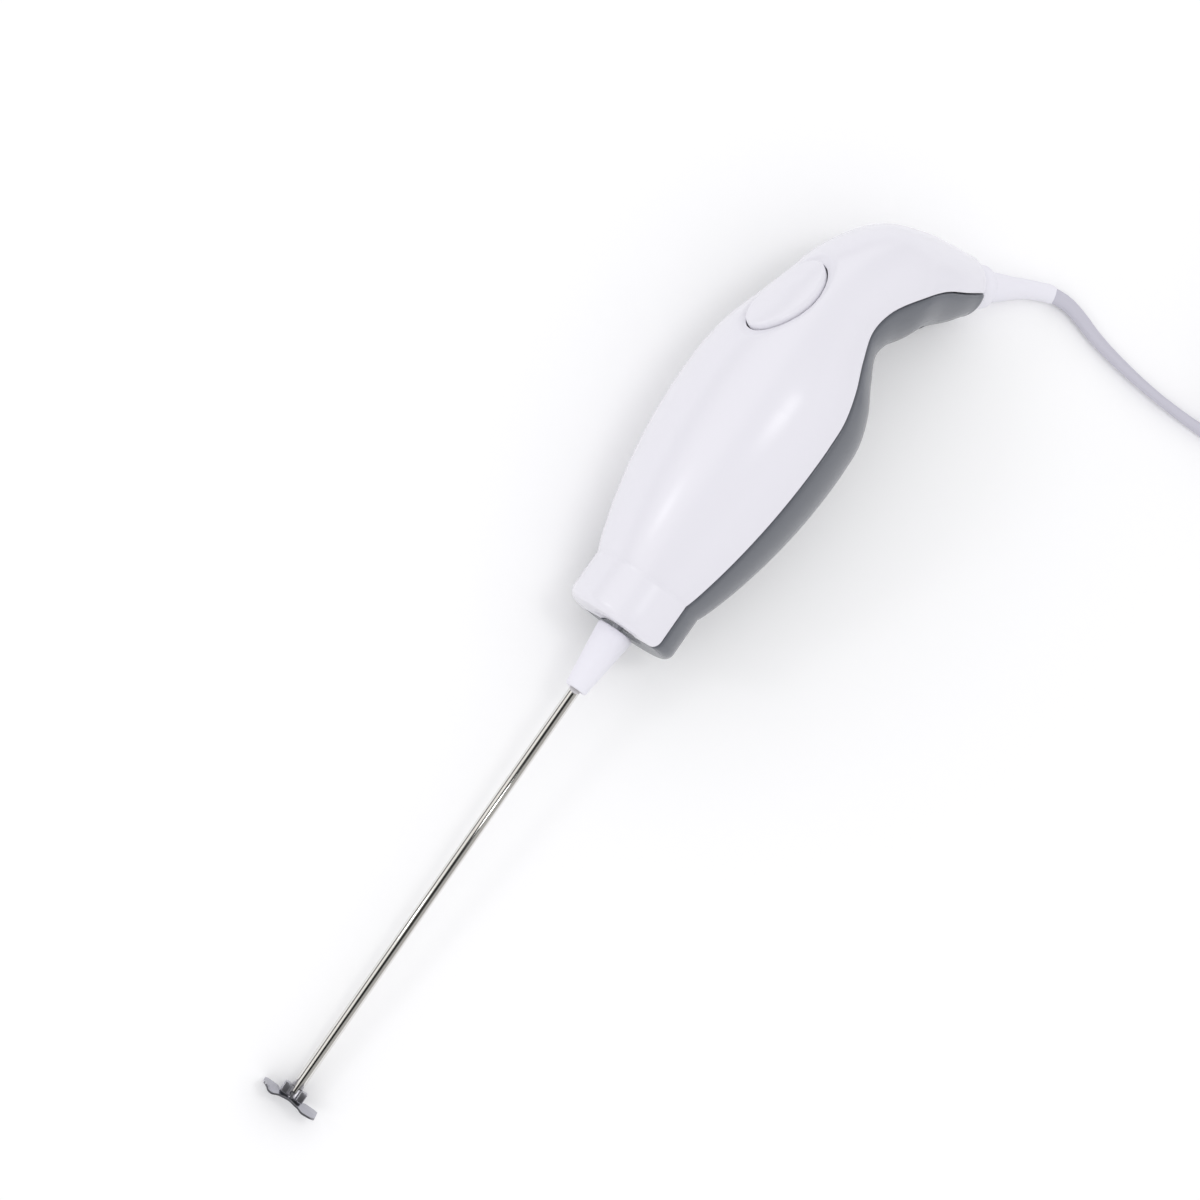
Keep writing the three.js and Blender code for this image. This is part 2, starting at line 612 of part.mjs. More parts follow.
function switchAndBoard() {
  const place = new THREE.Group();
  place.applyMatrix4(buttonPlace);
  const [, switchHigh] = SWITCH;
  const boardTop = -SWITCH_DEPTH - switchHigh - GAP;
  const below = boardTop - BOARD[1] - GAP;
  const bodyAt = -SWITCH_DEPTH - switchHigh / 2;
  const plunger = block([2.4, 2.8, 1.4], 0, -SWITCH_DEPTH + 0.5);
  const shift = BOARD_SHIFT;
  place.add(
    piece('switch_body', cut(block(SWITCH, 0, bodyAt), block([3, 5.6, 2], 0, -SWITCH_DEPTH)),
      BLACK_PLASTIC, STEM_SHIFT),
    piece('switch_plunger', plunger, WIRE_RED, STEM_SHIFT),
    piece('circuit_board', block(BOARD, shift, boardTop - BOARD[1] / 2), BOARD_GREEN),
    piece('rectifier', block([8, 3.4, 6.4], shift + 3, below - 1.7, -5), BLACK_PLASTIC),
    piece('capacitor', rod(-4.5, 4.5, 2.7, 20), WIRE_BLUE, shift + 3, below - 2.8, 5),
    piece('choke', turned([[-3, 0], [-3, 2.6], [-2, 2.6], [-2, 1.7], [2, 1.7], [2, 2.6],
      [3, 2.6], [3, 0]], 20), FERRITE, shift - 5.5, below - 2.8, 1));
  return place;
}

// ---------------------------------------------------------------- tail

function cordClamp() {
  const height = CORD_THICK / 2 + GAP;
  const bar = cut(block([6, 2.4, 2 * CLAMP_SIDE + 3.8], 0, height + 1.2),
    ...[1, -1].map((side) => post(-BIG, BIG, CLAMP_SCREW + GAP, 0, side * CLAMP_SIDE, 12)));
  const group = new THREE.Group();
  group.applyMatrix4(tailPlace);
  group.add(piece('cord_clamp', bar, NYLON, -CLAMP_BACK));
  [1, -1].forEach((side, i) => {
    const top = height + 2.4 + GAP;
    const screw = joined(post(top, top + 1.2, 1.7, 0, 0, 14),
      post(-7, top + 0.2, CLAMP_SCREW, 0, 0, 12));
    group.add(piece(`clamp_screw_${i + 1}`, screw, DULL_STEEL, -CLAMP_BACK, 0, side * CLAMP_SIDE));
  });
  return group;
}

// The end of the lead inside the tail, held under the clamp.
function leadEnd() {
  const outline = new THREE.Shape()
    .absellipse(0, 0, CORD_WIDE / 2, CORD_THICK / 2, 0, 2 * Math.PI);
  const from = -CLAMP_BACK - LEAD_TAIL;
  const depth = -END_WALL - 2 * GAP - FLANGE_THICK - from;
  return inTailPlace(new THREE.ExtrudeGeometry(outline,
    { depth, bevelEnabled: false, curveSegments: 6 }).rotateY(Math.PI / 2).translate(from, 0, 0));
}

function wire(name, material, points) {
  const outline = new THREE.Shape().absarc(0, 0, WIRE_RADIUS, 0, 2 * Math.PI);
  const extrudePath = new THREE.CatmullRomCurve3(points);
  return piece(name, new THREE.ExtrudeGeometry(outline,
    { steps: 8, extrudePath, curveSegments: 3 }), material);
}

// Wires from the motor's rear to the board, and from the lead's end to the board.
function wires() {
  const atButton = (...place) => vec(...place).applyMatrix4(buttonPlace);
  const atTail = (...place) => vec(...place).applyMatrix4(tailPlace);
  const motorRear = MOTOR_END + GAP + 2.4;
  const leadFrom = -CLAMP_BACK - LEAD_TAIL - GAP;
  return [1, -1].flatMap((side, i) => [
    wire(`motor_wire_${i + 1}`, side > 0 ? WIRE_RED : WIRE_BLUE, [
      vec(motorRear, -8, side * 6), vec(motorRear + 1.5, -9.5, side * 6.5),
      atButton(4, -27.8, side * 8.2), atButton(4, -22.6, side * 8.6),
      atButton(3.6, -20.2, side * 8.6)]),
    wire(`supply_wire_${i + 1}`, side > 0 ? BROWN : WIRE_BLUE, [
      atTail(leadFrom, 0, side * 1.1), atTail(leadFrom - 6, -1.2, side * 1.8),
      atButton(25.1, -21.4, side * 5), atButton(22.2, -21.4, side * 6)]),
  ]);
}

// ---------------------------------------------------------------- assembly

const frother = new THREE.Group();
frother.rotation.set(rad(ROLL), -rad(PITCH), 0, 'YXZ');
frother.add(...shells(), ...shellScrews(), motor(), noseSeal(), whisk(),
  button(), buttonGuide(), switchAndBoard(), cordClamp(),
  piece('lead_end', leadEnd(), RUBBER), ...wires());

// The lead is laid in the table's frame, once the frother stands on it.
const assembly = new THREE.Group();
assembly.add(frother);
assembly.updateMatrixWorld(true);
const box = new THREE.Box3().setFromObject(frother, true);
frother.position.set(-(box.min.x + box.max.x) / 2, -(box.min.y + box.max.y) / 2, -box.min.z);
frother.updateMatrixWorld(true);

const tailWorld = frother.matrixWorld.clone().multiply(tailPlace);
const exit = vec(0, 0, 0).applyMatrix4(tailWorld);
const fromTail = (distance, side = 0) => vec(distance, 0, side).applyMatrix4(tailWorld);

// Points of the lead's route: x and y from the exit, z over the table.
const onTable = (points) => points.map(([x, y, z]) => vec(exit.x + x, exit.y + y, z));
const RELIEF_ROUTE = [[5, -6, 5.7], [9.6, -12, 3.5], [13.4, -17.3, 2.62], [14.8, -22, 2.5]];
const LEAD_ROUTE = [
  [14.9, -22.5, 2.5], [15.2, -26.5, 2.3], [14.3, -31.5, 2.15], [12.7, -37, 2.15],
  [10.9, -46, 2.15], [9.6, -57, 2.15], [9.1, -68, 2.15], [9.3, -78, 2.15], [9.9, -88.6, 2.15],
];
const COIL_AT = [37.5, -104.5];
const PLUG_LEAD_ROUTE = [
  [51, -133.5, 2.15], [60, -136.5, 2.15], [70, -136, 2.15], [79, -131.5, 2.15],
  [84.6, -123.5, 3.5], [86.4, -114.5, 5.6], [86.5, -108.8, 6.85],
];
const PLUG_AT = [86.5, -108.5];

// A round piece along a route, from [distance, radius] pairs.
function sweptRound(route, outline, sides = 20) {
  const path = new THREE.CatmullRomCurve3(route);
  const length = path.getLength();
  const sections = outline.map(([distance, radius]) => {
    const middle = path.getPointAt(Math.min(1, distance / length));
    const way = path.getTangentAt(Math.min(1, distance / length));
    const side = vec(0, 0, 1).cross(way).normalize();
    const up = way.clone().cross(side);
    const points = [];
    for (let i = 0; i < sides; i++) {
      const angle = (2 * Math.PI * i) / sides;
      points.push(middle.clone()
        .addScaledVector(side, radius * Math.cos(angle))
        .addScaledVector(up, radius * Math.sin(angle)));
    }
    return points;
  });
  return new LoftGeometry(sections, { capStart: true, capEnd: true });
}

function strainRelief() {
  const inside = END_WALL + GAP;
  const flange = inside + FLANGE_THICK;
  const route = [fromTail(-flange), fromTail(-inside / 2), fromTail(GAP), fromTail(2),
    ...onTable(RELIEF_ROUTE)];
  return piece('strain_relief', sweptRound(route, [
    [0, NECK_RADIUS + 1.5], [FLANGE_THICK, NECK_RADIUS + 1.5], [FLANGE_THICK, NECK_RADIUS],
    [flange + GAP, NECK_RADIUS], [flange + GAP, 5.6], [flange + GAP + 0.5, 6],
    [flange + 5.6, 5.8], [flange + 7, 5], [flange + 7.1, 4.2], [flange + 11, 3.8],
    [flange + 16, 3], [flange + 21, 2.5], [BIG, 2.4],
  ]), RUBBER);
}

function leadTube(name, points) {
  const path = new THREE.CatmullRomCurve3(points);
  const steps = Math.ceil(path.getLength() / (2.5 * CORD_THICK));
  const outline = new THREE.Shape();
  const radius = (CORD_THICK + CORD_WIDE) / 4;
  outline.absarc(0, 0, radius, 0, 2 * Math.PI);
  return piece(name, new THREE.ExtrudeGeometry(outline,
    { steps, extrudePath: path, curveSegments: 4 }), RUBBER);
}

function cordCoil() {
  const [inner, outer] = [COIL_MIDDLE - COIL_ACROSS / 2, COIL_MIDDLE + COIL_ACROSS / 2];
  const edge = 1.6;
  const points = [
    [inner, edge], [inner + edge, 0], [outer - edge, 0], [outer, edge],
    [outer, COIL_HEIGHT - edge], [outer - edge, COIL_HEIGHT], [inner + edge, COIL_HEIGHT],
    [inner, COIL_HEIGHT - edge], [inner, edge],
  ].map(([x, y]) => new THREE.Vector2(x, y));
  return new THREE.LatheGeometry(points, 36).rotateX(Math.PI / 2);
}

// A strap over the coil's turns, down to the table on both sides.
function cordTie() {
  const wide = 8;
  const room = 1;              // the ring curves away inside the strap
  const sheet = 1.2;
  const strap = block([COIL_ACROSS + 2 * (room + sheet), wide, COIL_HEIGHT + GAP + sheet],
    COIL_MIDDLE, 0, (COIL_HEIGHT + GAP + sheet) / 2);
  return cut(strap, block([COIL_ACROSS + 2 * room, 2 * wide, 2 * (COIL_HEIGHT + GAP)],
    COIL_MIDDLE, 0, 0));
}

function plugBody() {
  const [wide, long, thick] = PLUG;
  const half = wide / 2;
  const outline = new THREE.Shape()
    .moveTo(-4, 0).lineTo(4, 0).lineTo(half - 4, 12).lineTo(half, 20).lineTo(half, long)
    .lineTo(-half, long).lineTo(-half, 20).lineTo(-half + 4, 12);
  const edge = 2;
  const body = new THREE.ExtrudeGeometry(outline, {
    depth: thick - 2 * edge, bevelThickness: edge, bevelSize: edge, bevelOffset: -edge,
    bevelSegments: 2,
  }).translate(0, 0, edge);
  const bores = [1, -1].map((side) => rod(long - 8, long + 1, PIN_RADIUS + GAP, 16)
    .rotateZ(Math.PI / 2).translate((side * PIN_SPACING) / 2, 0, thick / 2));
  return cut(body, ...bores);
}

function plug() {
  const group = new THREE.Group();
  const [, long, thick] = PLUG;
  group.position.set(exit.x + PLUG_AT[0], exit.y + PLUG_AT[1], 0);
  group.add(piece('plug_body', plugBody(), RUBBER));
  [1, -1].forEach((side, i) => {
    const pin = turned([[long - 7.6, 0], [long - 7.6, PIN_RADIUS],
      [long + PIN_LENGTH - 1, PIN_RADIUS], [long + PIN_LENGTH, PIN_RADIUS - 1],
      [long + PIN_LENGTH, 0]], 16).rotateZ(Math.PI / 2);
    group.add(piece(`plug_pin_${i + 1}`, pin, BRONZE, (side * PIN_SPACING) / 2, 0, thick / 2));
  });
  return group;
}

const coilPlace = [exit.x + COIL_AT[0], exit.y + COIL_AT[1]];
assembly.add(
  strainRelief(),
  leadTube('cord_lead', onTable(LEAD_ROUTE)),
  piece('cord_coil', cordCoil(), RUBBER, ...coilPlace),
  piece('cord_tie', cordTie(), DARK_RUBBER, ...coilPlace, 0),
  leadTube('plug_lead', onTable(PLUG_LEAD_ROUTE)),
  plug());

export default assembly;
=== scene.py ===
"""A mains-corded milk frother, lying on a table with its lead stored in a coil beside it."""

import json
import math

import bmesh
import bpy
from bpy.props import FloatProperty, FloatVectorProperty, IntProperty, PointerProperty
from mathutils import Matrix, Vector
from mathutils.bvhtree import BVHTree

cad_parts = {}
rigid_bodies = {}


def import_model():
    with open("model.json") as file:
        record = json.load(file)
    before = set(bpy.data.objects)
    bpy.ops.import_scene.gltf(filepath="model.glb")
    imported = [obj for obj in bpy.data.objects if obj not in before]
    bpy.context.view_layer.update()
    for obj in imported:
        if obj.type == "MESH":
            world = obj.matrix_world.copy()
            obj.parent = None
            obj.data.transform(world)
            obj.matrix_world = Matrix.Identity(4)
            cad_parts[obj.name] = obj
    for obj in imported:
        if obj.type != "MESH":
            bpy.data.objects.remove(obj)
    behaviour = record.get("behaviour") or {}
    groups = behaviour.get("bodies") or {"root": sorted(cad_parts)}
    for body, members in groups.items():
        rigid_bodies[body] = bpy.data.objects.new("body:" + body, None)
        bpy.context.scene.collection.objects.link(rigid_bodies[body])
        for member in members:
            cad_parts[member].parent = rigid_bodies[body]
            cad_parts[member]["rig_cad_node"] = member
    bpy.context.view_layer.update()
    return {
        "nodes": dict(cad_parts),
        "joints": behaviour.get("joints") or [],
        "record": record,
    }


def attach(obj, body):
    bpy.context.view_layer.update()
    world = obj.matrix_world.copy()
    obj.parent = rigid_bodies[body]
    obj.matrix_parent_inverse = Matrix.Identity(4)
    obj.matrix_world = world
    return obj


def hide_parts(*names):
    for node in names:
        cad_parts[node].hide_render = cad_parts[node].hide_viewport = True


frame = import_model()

bl_info = {
    "name": "Milk frother",
    "version": (1, 0, 0),
    "blender": (4, 5, 0),
    "location": "3D View > Sidebar > Frother",
    "description": "Builds the looks of a hand-held milk frother round its moving frame",
    "category": "Object",
}

MM = 0.001

# ---------------------------------------------------------------- the frother's own frame

JOINTS = {joint["name"]: joint for joint in frame["joints"]}
SLOTS = {m["slot"]: m for m in frame["record"]["materials"]}
NODE_SLOTS = {part["node"]: part["material_slot"] for part in frame["record"]["subparts"]}
ORIGIN = Vector(JOINTS["motor_spin"]["pos_m"])
ALONG = Vector(JOINTS["motor_spin"]["axis"]).normalized()
PRESS = Vector(JOINTS["button_press"]["axis"])
UP = (PRESS.dot(ALONG) * ALONG - PRESS).normalized()
SIDE = ALONG.cross(UP)
TOOL = Matrix((ALONG, UP, SIDE)).transposed().to_4x4()
TOOL.translation = ORIGIN

# Sizes of the body's form in millimetres, along the rod's axis from the nose face.
MOTOR_END = 78
BELLY_AT = 64
NOSE_LENGTH = 13
NOSE_EDGE = 2.4
BELLY_SHAPE = 0.85
BELLY_SPACING = 1.15     # draws the first sections together where the belly starts to swell
BELLY_RADIUS = 24.2
TAIL_RADIUS = 8.4
TAIL_EDGE = 3.4
END_WALL = 3
NECK_BORE = 4.7
HANDLE = [
    (-6, 0.1, 23.8, 0), (2, 0.9, 21.9, 2), (10, 1.6, 18.5, 8), (18, 1.8, 15.7, 18),
    (25, -0.3, 15.2, 28), (34.5, -7.8, 15, 46), (40.8, -15.8, 12.7, 54),
    (45.8, -25.2, 10.4, 58), (49.2, -31.5, TAIL_RADIUS, 60),
]
BUTTON_AT = 91
BUTTON_TILT = 17
# Screws near the nose and the tail: place along, place to each side, depth of the well.
SCREWS_NOSE = (21, 10.6, -10.5)
SCREWS_TAIL = (25, 7.4, -7.6)
WELL_RADIUS = 2.7
ROD_LENGTH = 126.8
ROD_SEAT = 6             # how far the rod reaches into its cone
HUB_LENGTH = 2.6
BLADE_TURN = math.radians(46)
BLADE_HALF_THICK = 0.25
BLADE_GAP = 0.3


def tool(x, y, z=0.0):
    """A place in the frother's frame, in millimetres, as a point of the shared frame."""
    return TOOL @ Vector((x * MM, y * MM, z * MM))


def spline(points, share, even=False):
    """A point of a smooth curve through tuples, at a share of its count of spans."""
    spans = len(points) - 1
    index = min(int(share * spans), spans - 1)
    weight = share * spans - index
    first = [Vector(p) for p in points]
    before = first[index - 1] if index else 2 * first[0] - first[1]
    after = first[index + 2] if index + 2 <= spans else 2 * first[-1] - first[-2]
    a, b = first[index], first[index + 1]
    if even:
        lead_in, lead_out = (b - before) / 2, (after - a) / 2
    else:
        d0, d1, d2 = (math.sqrt((q - p).length) for p, q in ((before, a), (a, b), (b, after)))
        lead_in = d1 * ((a - before) / d0 - (b - before) / (d0 + d1) + (b - a) / d1)
        lead_out = d1 * ((b - a) / d1 - (after - a) / (d1 + d2) + (after - b) / d2)
    turn = -3 * a + 3 * b - 2 * lead_in - lead_out
    return a + weight * (lead_in + weight * (turn + weight * (2 * a - 2 * b + lead_in + lead_out)))


# ---------------------------------------------------------------- settings

def size(name, description, default):
    return FloatProperty(name=name, description=description, default=default * MM,
                         subtype="DISTANCE", unit="LENGTH")


def colour(name, description, slot, shares=(1, 1, 1)):
    base = tuple(share * part for share, part in zip(shares, SLOTS[slot]["base_color"]))
    return FloatVectorProperty(name=name, description=description, subtype="COLOR", size=3,
                               default=base, min=0, max=1)


class FrotherShellSettings(bpy.types.PropertyGroup):
    nose_radius: size("Nose radius", "Radius of the straight collar at the nose", 15.2)
    wall: size("Wall", "Thickness of both shells", 2.0)
    parting: size("Parting groove", "Gap between the two shells", 0.4)
    edge: size("White edge", "Rounding of the white shell along the groove", 0.4)
    grey_edge: size("Grey edge", "Rounding of the grey shell along the groove", 0.7)
    dish_radius: size("Nose dish", "Radius of the shallow dish round the shaft", 7.0)
    recess_depth: size("Recess depth", "Depth of the thumb recess round the button", 0.8)
    recess_length: size("Recess half length", "Half length of the thumb recess", 16.0)
    recess_width: size("Recess half width", "Half width of the thumb recess", 8.5)
    button_length: size("Button half length", "Half length of the thumb button", 12.6)
    button_width: size("Button half width", "Half width of the thumb button", 7.2)
    button_slot: size("Button slot", "Gap all round the thumb button", 0.4)
    button_proud: size("Button height", "How far the button stands over the crest", 0.9)
    white: colour("White", "Colour of the upper shell and button", "shell_white",
                  (1.03, 0.985, 1.01))
    grey: colour("Grey", "Colour of the rear shell", "shell_grey", (0.45, 0.45, 0.46))


class FrotherWhiskSettings(bpy.types.PropertyGroup):
    standoff: size("Standoff", "Gap between the nose face and the cone", 0.9)
    socket_length: size("Cone length", "Length of the cone that holds the rod", 17.8)
    socket_wide: size("Cone wide radius", "Radius of the cone at the nose", 5.0)
    socket_narrow: size("Cone narrow radius", "Radius of the cone at the rod", 3.05)
    rod_radius: size("Rod radius", "Radius of the steel rod", 1.5)
    hub_width: size("Hub width", "Width of the hub along the blade", 6.4)
    blade_span: size("Blade span", "Length of the froth blade", 15.6)
    blade_chord: size("Blade chord", "Width of the froth blade", 6.2)
    cone: colour("Cone", "Colour of the cone", "socket_white")
    steel: colour("Steel", "Tint of the polished steel", "polished_steel")


class FrotherLeadSettings(bpy.types.PropertyGroup):
    wide: size("Lead width", "Width of the flat lead", 4.2)
    thick: size("Lead thickness", "Thickness of the flat lead", 2.8)
    coil_middle: size("Coil radius", "Radius at the middle of the stored turns", 23.0)
    turn_gap: size("Turn spacing", "Distance between neighbouring turns", 4.4)
    turns: IntProperty(name="Turns", description="Whole turns of the coil", default=7, min=3)
    twist: FloatProperty(name="Twist", description="Twist of the loose stretch per metre",
                         default=math.radians(1600), subtype="ANGLE", unit="ROTATION")
    pvc: colour("Lead", "Colour of the lead, strain relief and plug", "lead_pvc")


class FrotherStageSettings(bpy.types.PropertyGroup):
    distance: size("Camera distance", "From the camera to the frother", 750.0)
    lens: FloatProperty(name="Lens", description="Focal length on a 36 mm sensor",
                        default=90.0, unit="CAMERA")
    roll: FloatProperty(name="Roll", description="Turn of the view round the rod",
                        default=math.radians(46), subtype="ANGLE", unit="ROTATION")
    dip: FloatProperty(name="Dip", description="Lean of the view towards the whisk",
                       default=math.radians(5.5), subtype="ANGLE", unit="ROTATION")
    spin: FloatProperty(name="Spin", description="Turn of the picture round the view",
                        default=math.radians(55), subtype="ANGLE", unit="ROTATION")
    fill: FloatProperty(name="Fill", description="Brightness of the room's soft light",
                        default=0.96, min=0)
    key: FloatProperty(name="Key", description="Power of the soft box over the belly in watts",
                       default=0.7, min=0, unit="POWER")
    window: FloatProperty(name="Window", description="Power of the side soft box in watts",
                          default=0.4, min=0, unit="POWER")
    floor: FloatVectorProperty(name="Floor", description="Colour of the floor", size=3,
                               subtype="COLOR", default=(0.985, 0.985, 0.985), min=0, max=1)


# ---------------------------------------------------------------- shader groups and finishes

def new_group(name, inputs, outputs):
    group = bpy.data.node_groups.new(name, "ShaderNodeTree")
    for label, kind, default in inputs:
        socket = group.interface.new_socket(label, in_out="INPUT", socket_type=kind)
        if default is not None:
            socket.default_value = default
    for label, kind in outputs:
        group.interface.new_socket(label, in_out="OUTPUT", socket_type=kind)
    return group, group.nodes.new("NodeGroupInput"), group.nodes.new("NodeGroupOutput")


def preset(node, **values):
    """Sets a node's inputs, with a _ in a name for each space."""
    for label, value in values.items():
        node.inputs[label.replace("_", " ")].default_value = value


def wire(tree, *joins):
    """Links nodes of a tree, each join given as node, output, node, input."""
    for source, output, target, socket in joins:
        tree.links.new(source.outputs[output], target.inputs[socket])


def mottle_group():
    """Soft cloudy change of colour, with a finer speckle in it."""
    group, given, result = new_group("soft_mottle", [
        ("Colour", "NodeSocketColor", (0.8, 0.8, 0.8, 1)),
        ("Second Colour", "NodeSocketColor", (0.7, 0.7, 0.7, 1)),
        ("Scale", "NodeSocketFloat", 60.0), ("Amount", "NodeSocketFloat", 0.4)],
        [("Colour", "NodeSocketColor"), ("Mask", "NodeSocketFloat")])
    nodes = group.nodes
    place = nodes.new("ShaderNodeTexCoord")
    noise = nodes.new("ShaderNodeTexNoise")
    preset(noise, Detail=5, Roughness=0.6)
    ramp = nodes.new("ShaderNodeMapRange")
    preset(ramp, From_Min=0.35, From_Max=0.68)
    times = nodes.new("ShaderNodeMath")
    times.operation = "MULTIPLY"
    mix = nodes.new("ShaderNodeMix")
    mix.data_type = "RGBA"
    wire(group, (place, "Object", noise, "Vector"), (given, "Scale", noise, "Scale"),
         (noise, "Fac", ramp, "Value"), (ramp, "Result", times, 0), (given, "Amount", times, 1),
         (times, 0, mix, "Factor"), (given, "Colour", mix, "A"),
         (given, "Second Colour", mix, "B"), (mix, "Result", result, "Colour"),
         (ramp, "Result", result, "Mask"))
    return group


def grain_group():
    """Fine grain for bump and for the small change of gloss that handling leaves."""
    group, given, result = new_group("fine_grain", [
        ("Scale", "NodeSocketFloat", 900.0), ("Stretch", "NodeSocketVector", (1, 1, 1)),
        ("Roughness", "NodeSocketFloat", 0.3), ("Spread", "NodeSocketFloat", 0.06)],
        [("Height", "NodeSocketFloat"), ("Roughness", "NodeSocketFloat")])
    nodes = group.nodes
    place = nodes.new("ShaderNodeTexCoord")
    stretch = nodes.new("ShaderNodeVectorMath")
    stretch.operation = "MULTIPLY"
    noise = nodes.new("ShaderNodeTexNoise")
    preset(noise, Detail=3)
    smear = nodes.new("ShaderNodeTexNoise")
    preset(smear, Scale=45)
    spread = nodes.new("ShaderNodeMath")
    spread.operation = "MULTIPLY_ADD"
    wire(group, (place, "Object", stretch, 0), (given, "Stretch", stretch, 1),
         (stretch, "Vector", noise, "Vector"), (given, "Scale", noise, "Scale"),
         (place, "Object", smear, "Vector"), (smear, "Fac", spread, 0),
         (given, "Spread", spread, 1), (given, "Roughness", spread, 2),
         (noise, "Fac", result, "Height"), (spread, 0, result, "Roughness"))
    return group


# slot: share of the colour in the mottle's other shade, mottle scale and amount, roughness,
# metallic, coat, grain scale, and grain depth in millimetres
FINISHES = {
    "shell_white": (0.95, 35, 0.35, 0.08, 0, 0.7, 2200, 0.0012),
    "shell_grey": (0.8, 40, 0.4, 0.11, 0, 0.4, 2200, 0.0012),
    "socket_white": (0.94, 60, 0.4, 0.36, 0, 0, 2600, 0.006),
    "polished_steel": (0.9, 180, 0.5, 0.06, 1, 0, 700, 0.0015),
    "blade_steel": (0.85, 180, 0.5, 0.3, 1, 0, 900, 0.004),
    "motor_steel": (0.75, 120, 0.6, 0.32, 1, 0, 500, 0.01),
    "bronze": (0.7, 300, 0.6, 0.42, 1, 0, 2400, 0.02),
    "pin_metal": (0.85, 160, 0.5, 0.2, 1, 0, 900, 0.004),
    "copper": (0.6, 240, 0.6, 0.3, 1, 0.2, 1800, 0.02),
    "ferrite": (1.5, 300, 0.5, 0.6, 0, 0, 2600, 0.03),
    "soft_rubber": (1.6, 160, 0.5, 0.7, 0, 0, 2000, 0.02),
    "lead_pvc": (0.9, 90, 0.45, 0.4, 0, 0, 2400, 0.008),
    "tie": (1.8, 200, 0.5, 0.66, 0, 0, 1500, 0.05),
    "nylon": (0.92, 90, 0.5, 0.45, 0, 0, 1800, 0.012),
    "dark_plastic": (1.5, 90, 0.5, 0.4, 0, 0, 1700, 0.015),
    "board": (0.7, 400, 0.6, 0.35, 0, 0.3, 1200, 0.01),
    **{f"wire_{hue}": (0.8, 120, 0.5, 0.4, 0, 0, 1500, 0.008) for hue in ("red", "blue", "brown")},
}

# The grain's scale along each axis where it runs one way.
STRETCHES = {
    "polished_steel": (0.08, 1, 1),
    "blade_steel": (1, 1, 0.1),
    "motor_steel": (0.1, 1, 1),
    "pin_metal": (1, 0.1, 1),
    "copper": (1, 0.2, 1),
    "board": (1, 0.3, 1),
}

# Colour of blade_steel, the duller finish of the hub and the blade.
BLADE_TINT = (0.5, 0.5, 0.55)


def finish(slot, base):
    """The material of a slot: mottled colour, fine grain and its own gloss."""
    shade, mottle_scale, amount, rough, metal, coat, grain, depth = FINISHES[slot]
    material = bpy.data.materials.new(slot)
    material.use_nodes = True
    nodes = material.node_tree.nodes
    shader = nodes["Principled BSDF"]
    mottle = nodes.new("ShaderNodeGroup")
    mottle.node_tree = bpy.data.node_groups["soft_mottle"]
    preset(mottle, Colour=(*base, 1), Second_Colour=(*(min(1, c * shade) for c in base), 1),
           Scale=mottle_scale, Amount=amount)
    fine = nodes.new("ShaderNodeGroup")
    fine.node_tree = bpy.data.node_groups["fine_grain"]
    preset(fine, Scale=grain, Stretch=STRETCHES.get(slot, (1, 1, 1)), Roughness=rough - 0.02)
    bump = nodes.new("ShaderNodeBump")
    preset(bump, Distance=depth * MM, Strength=0.6)
    wire(material.node_tree, (mottle, "Colour", shader, "Base Color"),
         (fine, "Roughness", shader, "Roughness"), (fine, "Height", bump, "Height"),
         (bump, "Normal", shader, "Normal"))
    shader.inputs["Metallic"].default_value = metal
    shader.inputs["Coat Weight"].default_value = coat
    shader.inputs["Coat Roughness"].default_value = 0.05
    return material


def dress(obj, slot, material=None):
    obj.data.materials.clear()
    obj.data.materials.append(bpy.data.materials[material or slot])


# ---------------------------------------------------------------- mesh helpers

def add_mesh(name, corners, faces):
    mesh = bpy.data.meshes.new(name)
    mesh.from_pydata([tuple(c) for c in corners], [], faces)
    obj = bpy.data.objects.new(name, mesh)
    bpy.context.scene.collection.objects.link(obj)
    tidy_mesh(obj)
    return obj


def tidy_mesh(obj):
    """Joins corners that meet, drops empty faces and turns every face outwards."""
    work = bmesh.new()
    work.from_mesh(obj.data)
    bmesh.ops.remove_doubles(work, verts=work.verts, dist=2e-6)
    bmesh.ops.dissolve_degenerate(work, edges=work.edges, dist=1e-7)
    bmesh.ops.recalc_face_normals(work, faces=work.faces)
    work.to_mesh(obj.data)
    work.free()


def quarter(steps):
    """Sines and cosines of a quarter turn in equal steps."""
    return [(math.sin(t), math.cos(t))
            for t in (math.pi / 2 * i / steps for i in range(steps + 1))]


def loft(name, rings, closed=False):
    """A skin through rings of equal count; its ends are capped unless it closes on itself."""
    count = len(rings[0])
    corners = [corner for ring in rings for corner in ring]
    spans = len(rings) if closed else len(rings) - 1
    faces = []
    for i in range(spans):
        a, b = i * count, ((i + 1) % len(rings)) * count
        for j in range(count):
            k = (j + 1) % count
            faces.append((a + j, a + k, b + k, b + j))
    if not closed:
        faces.append(tuple(range(count)))
        faces.append(tuple(range((len(rings) - 1) * count, len(rings) * count)))
    return add_mesh(name, corners, faces)


def angles(count):
    """The angles of a full turn in equal steps."""
    return [2 * math.pi * i / count for i in range(count)]


def turned(name, outline, sides=64, place=None):
    """A turned piece along the rod's axis from (x, radius) pairs in millimetres."""
    place = place or TOOL
    return loft(name, [[place @ (Vector((x, radius * math.cos(t), radius * math.sin(t))) * MM)
                        for t in angles(sides)] for x, radius in outline])


def apply_modifiers(obj):
    bpy.context.view_layer.update()
    shown = obj.evaluated_get(bpy.context.evaluated_depsgraph_get())
    mesh = bpy.data.meshes.new_from_object(shown)
    obj.modifiers.clear()
    obj.data = mesh
    return obj


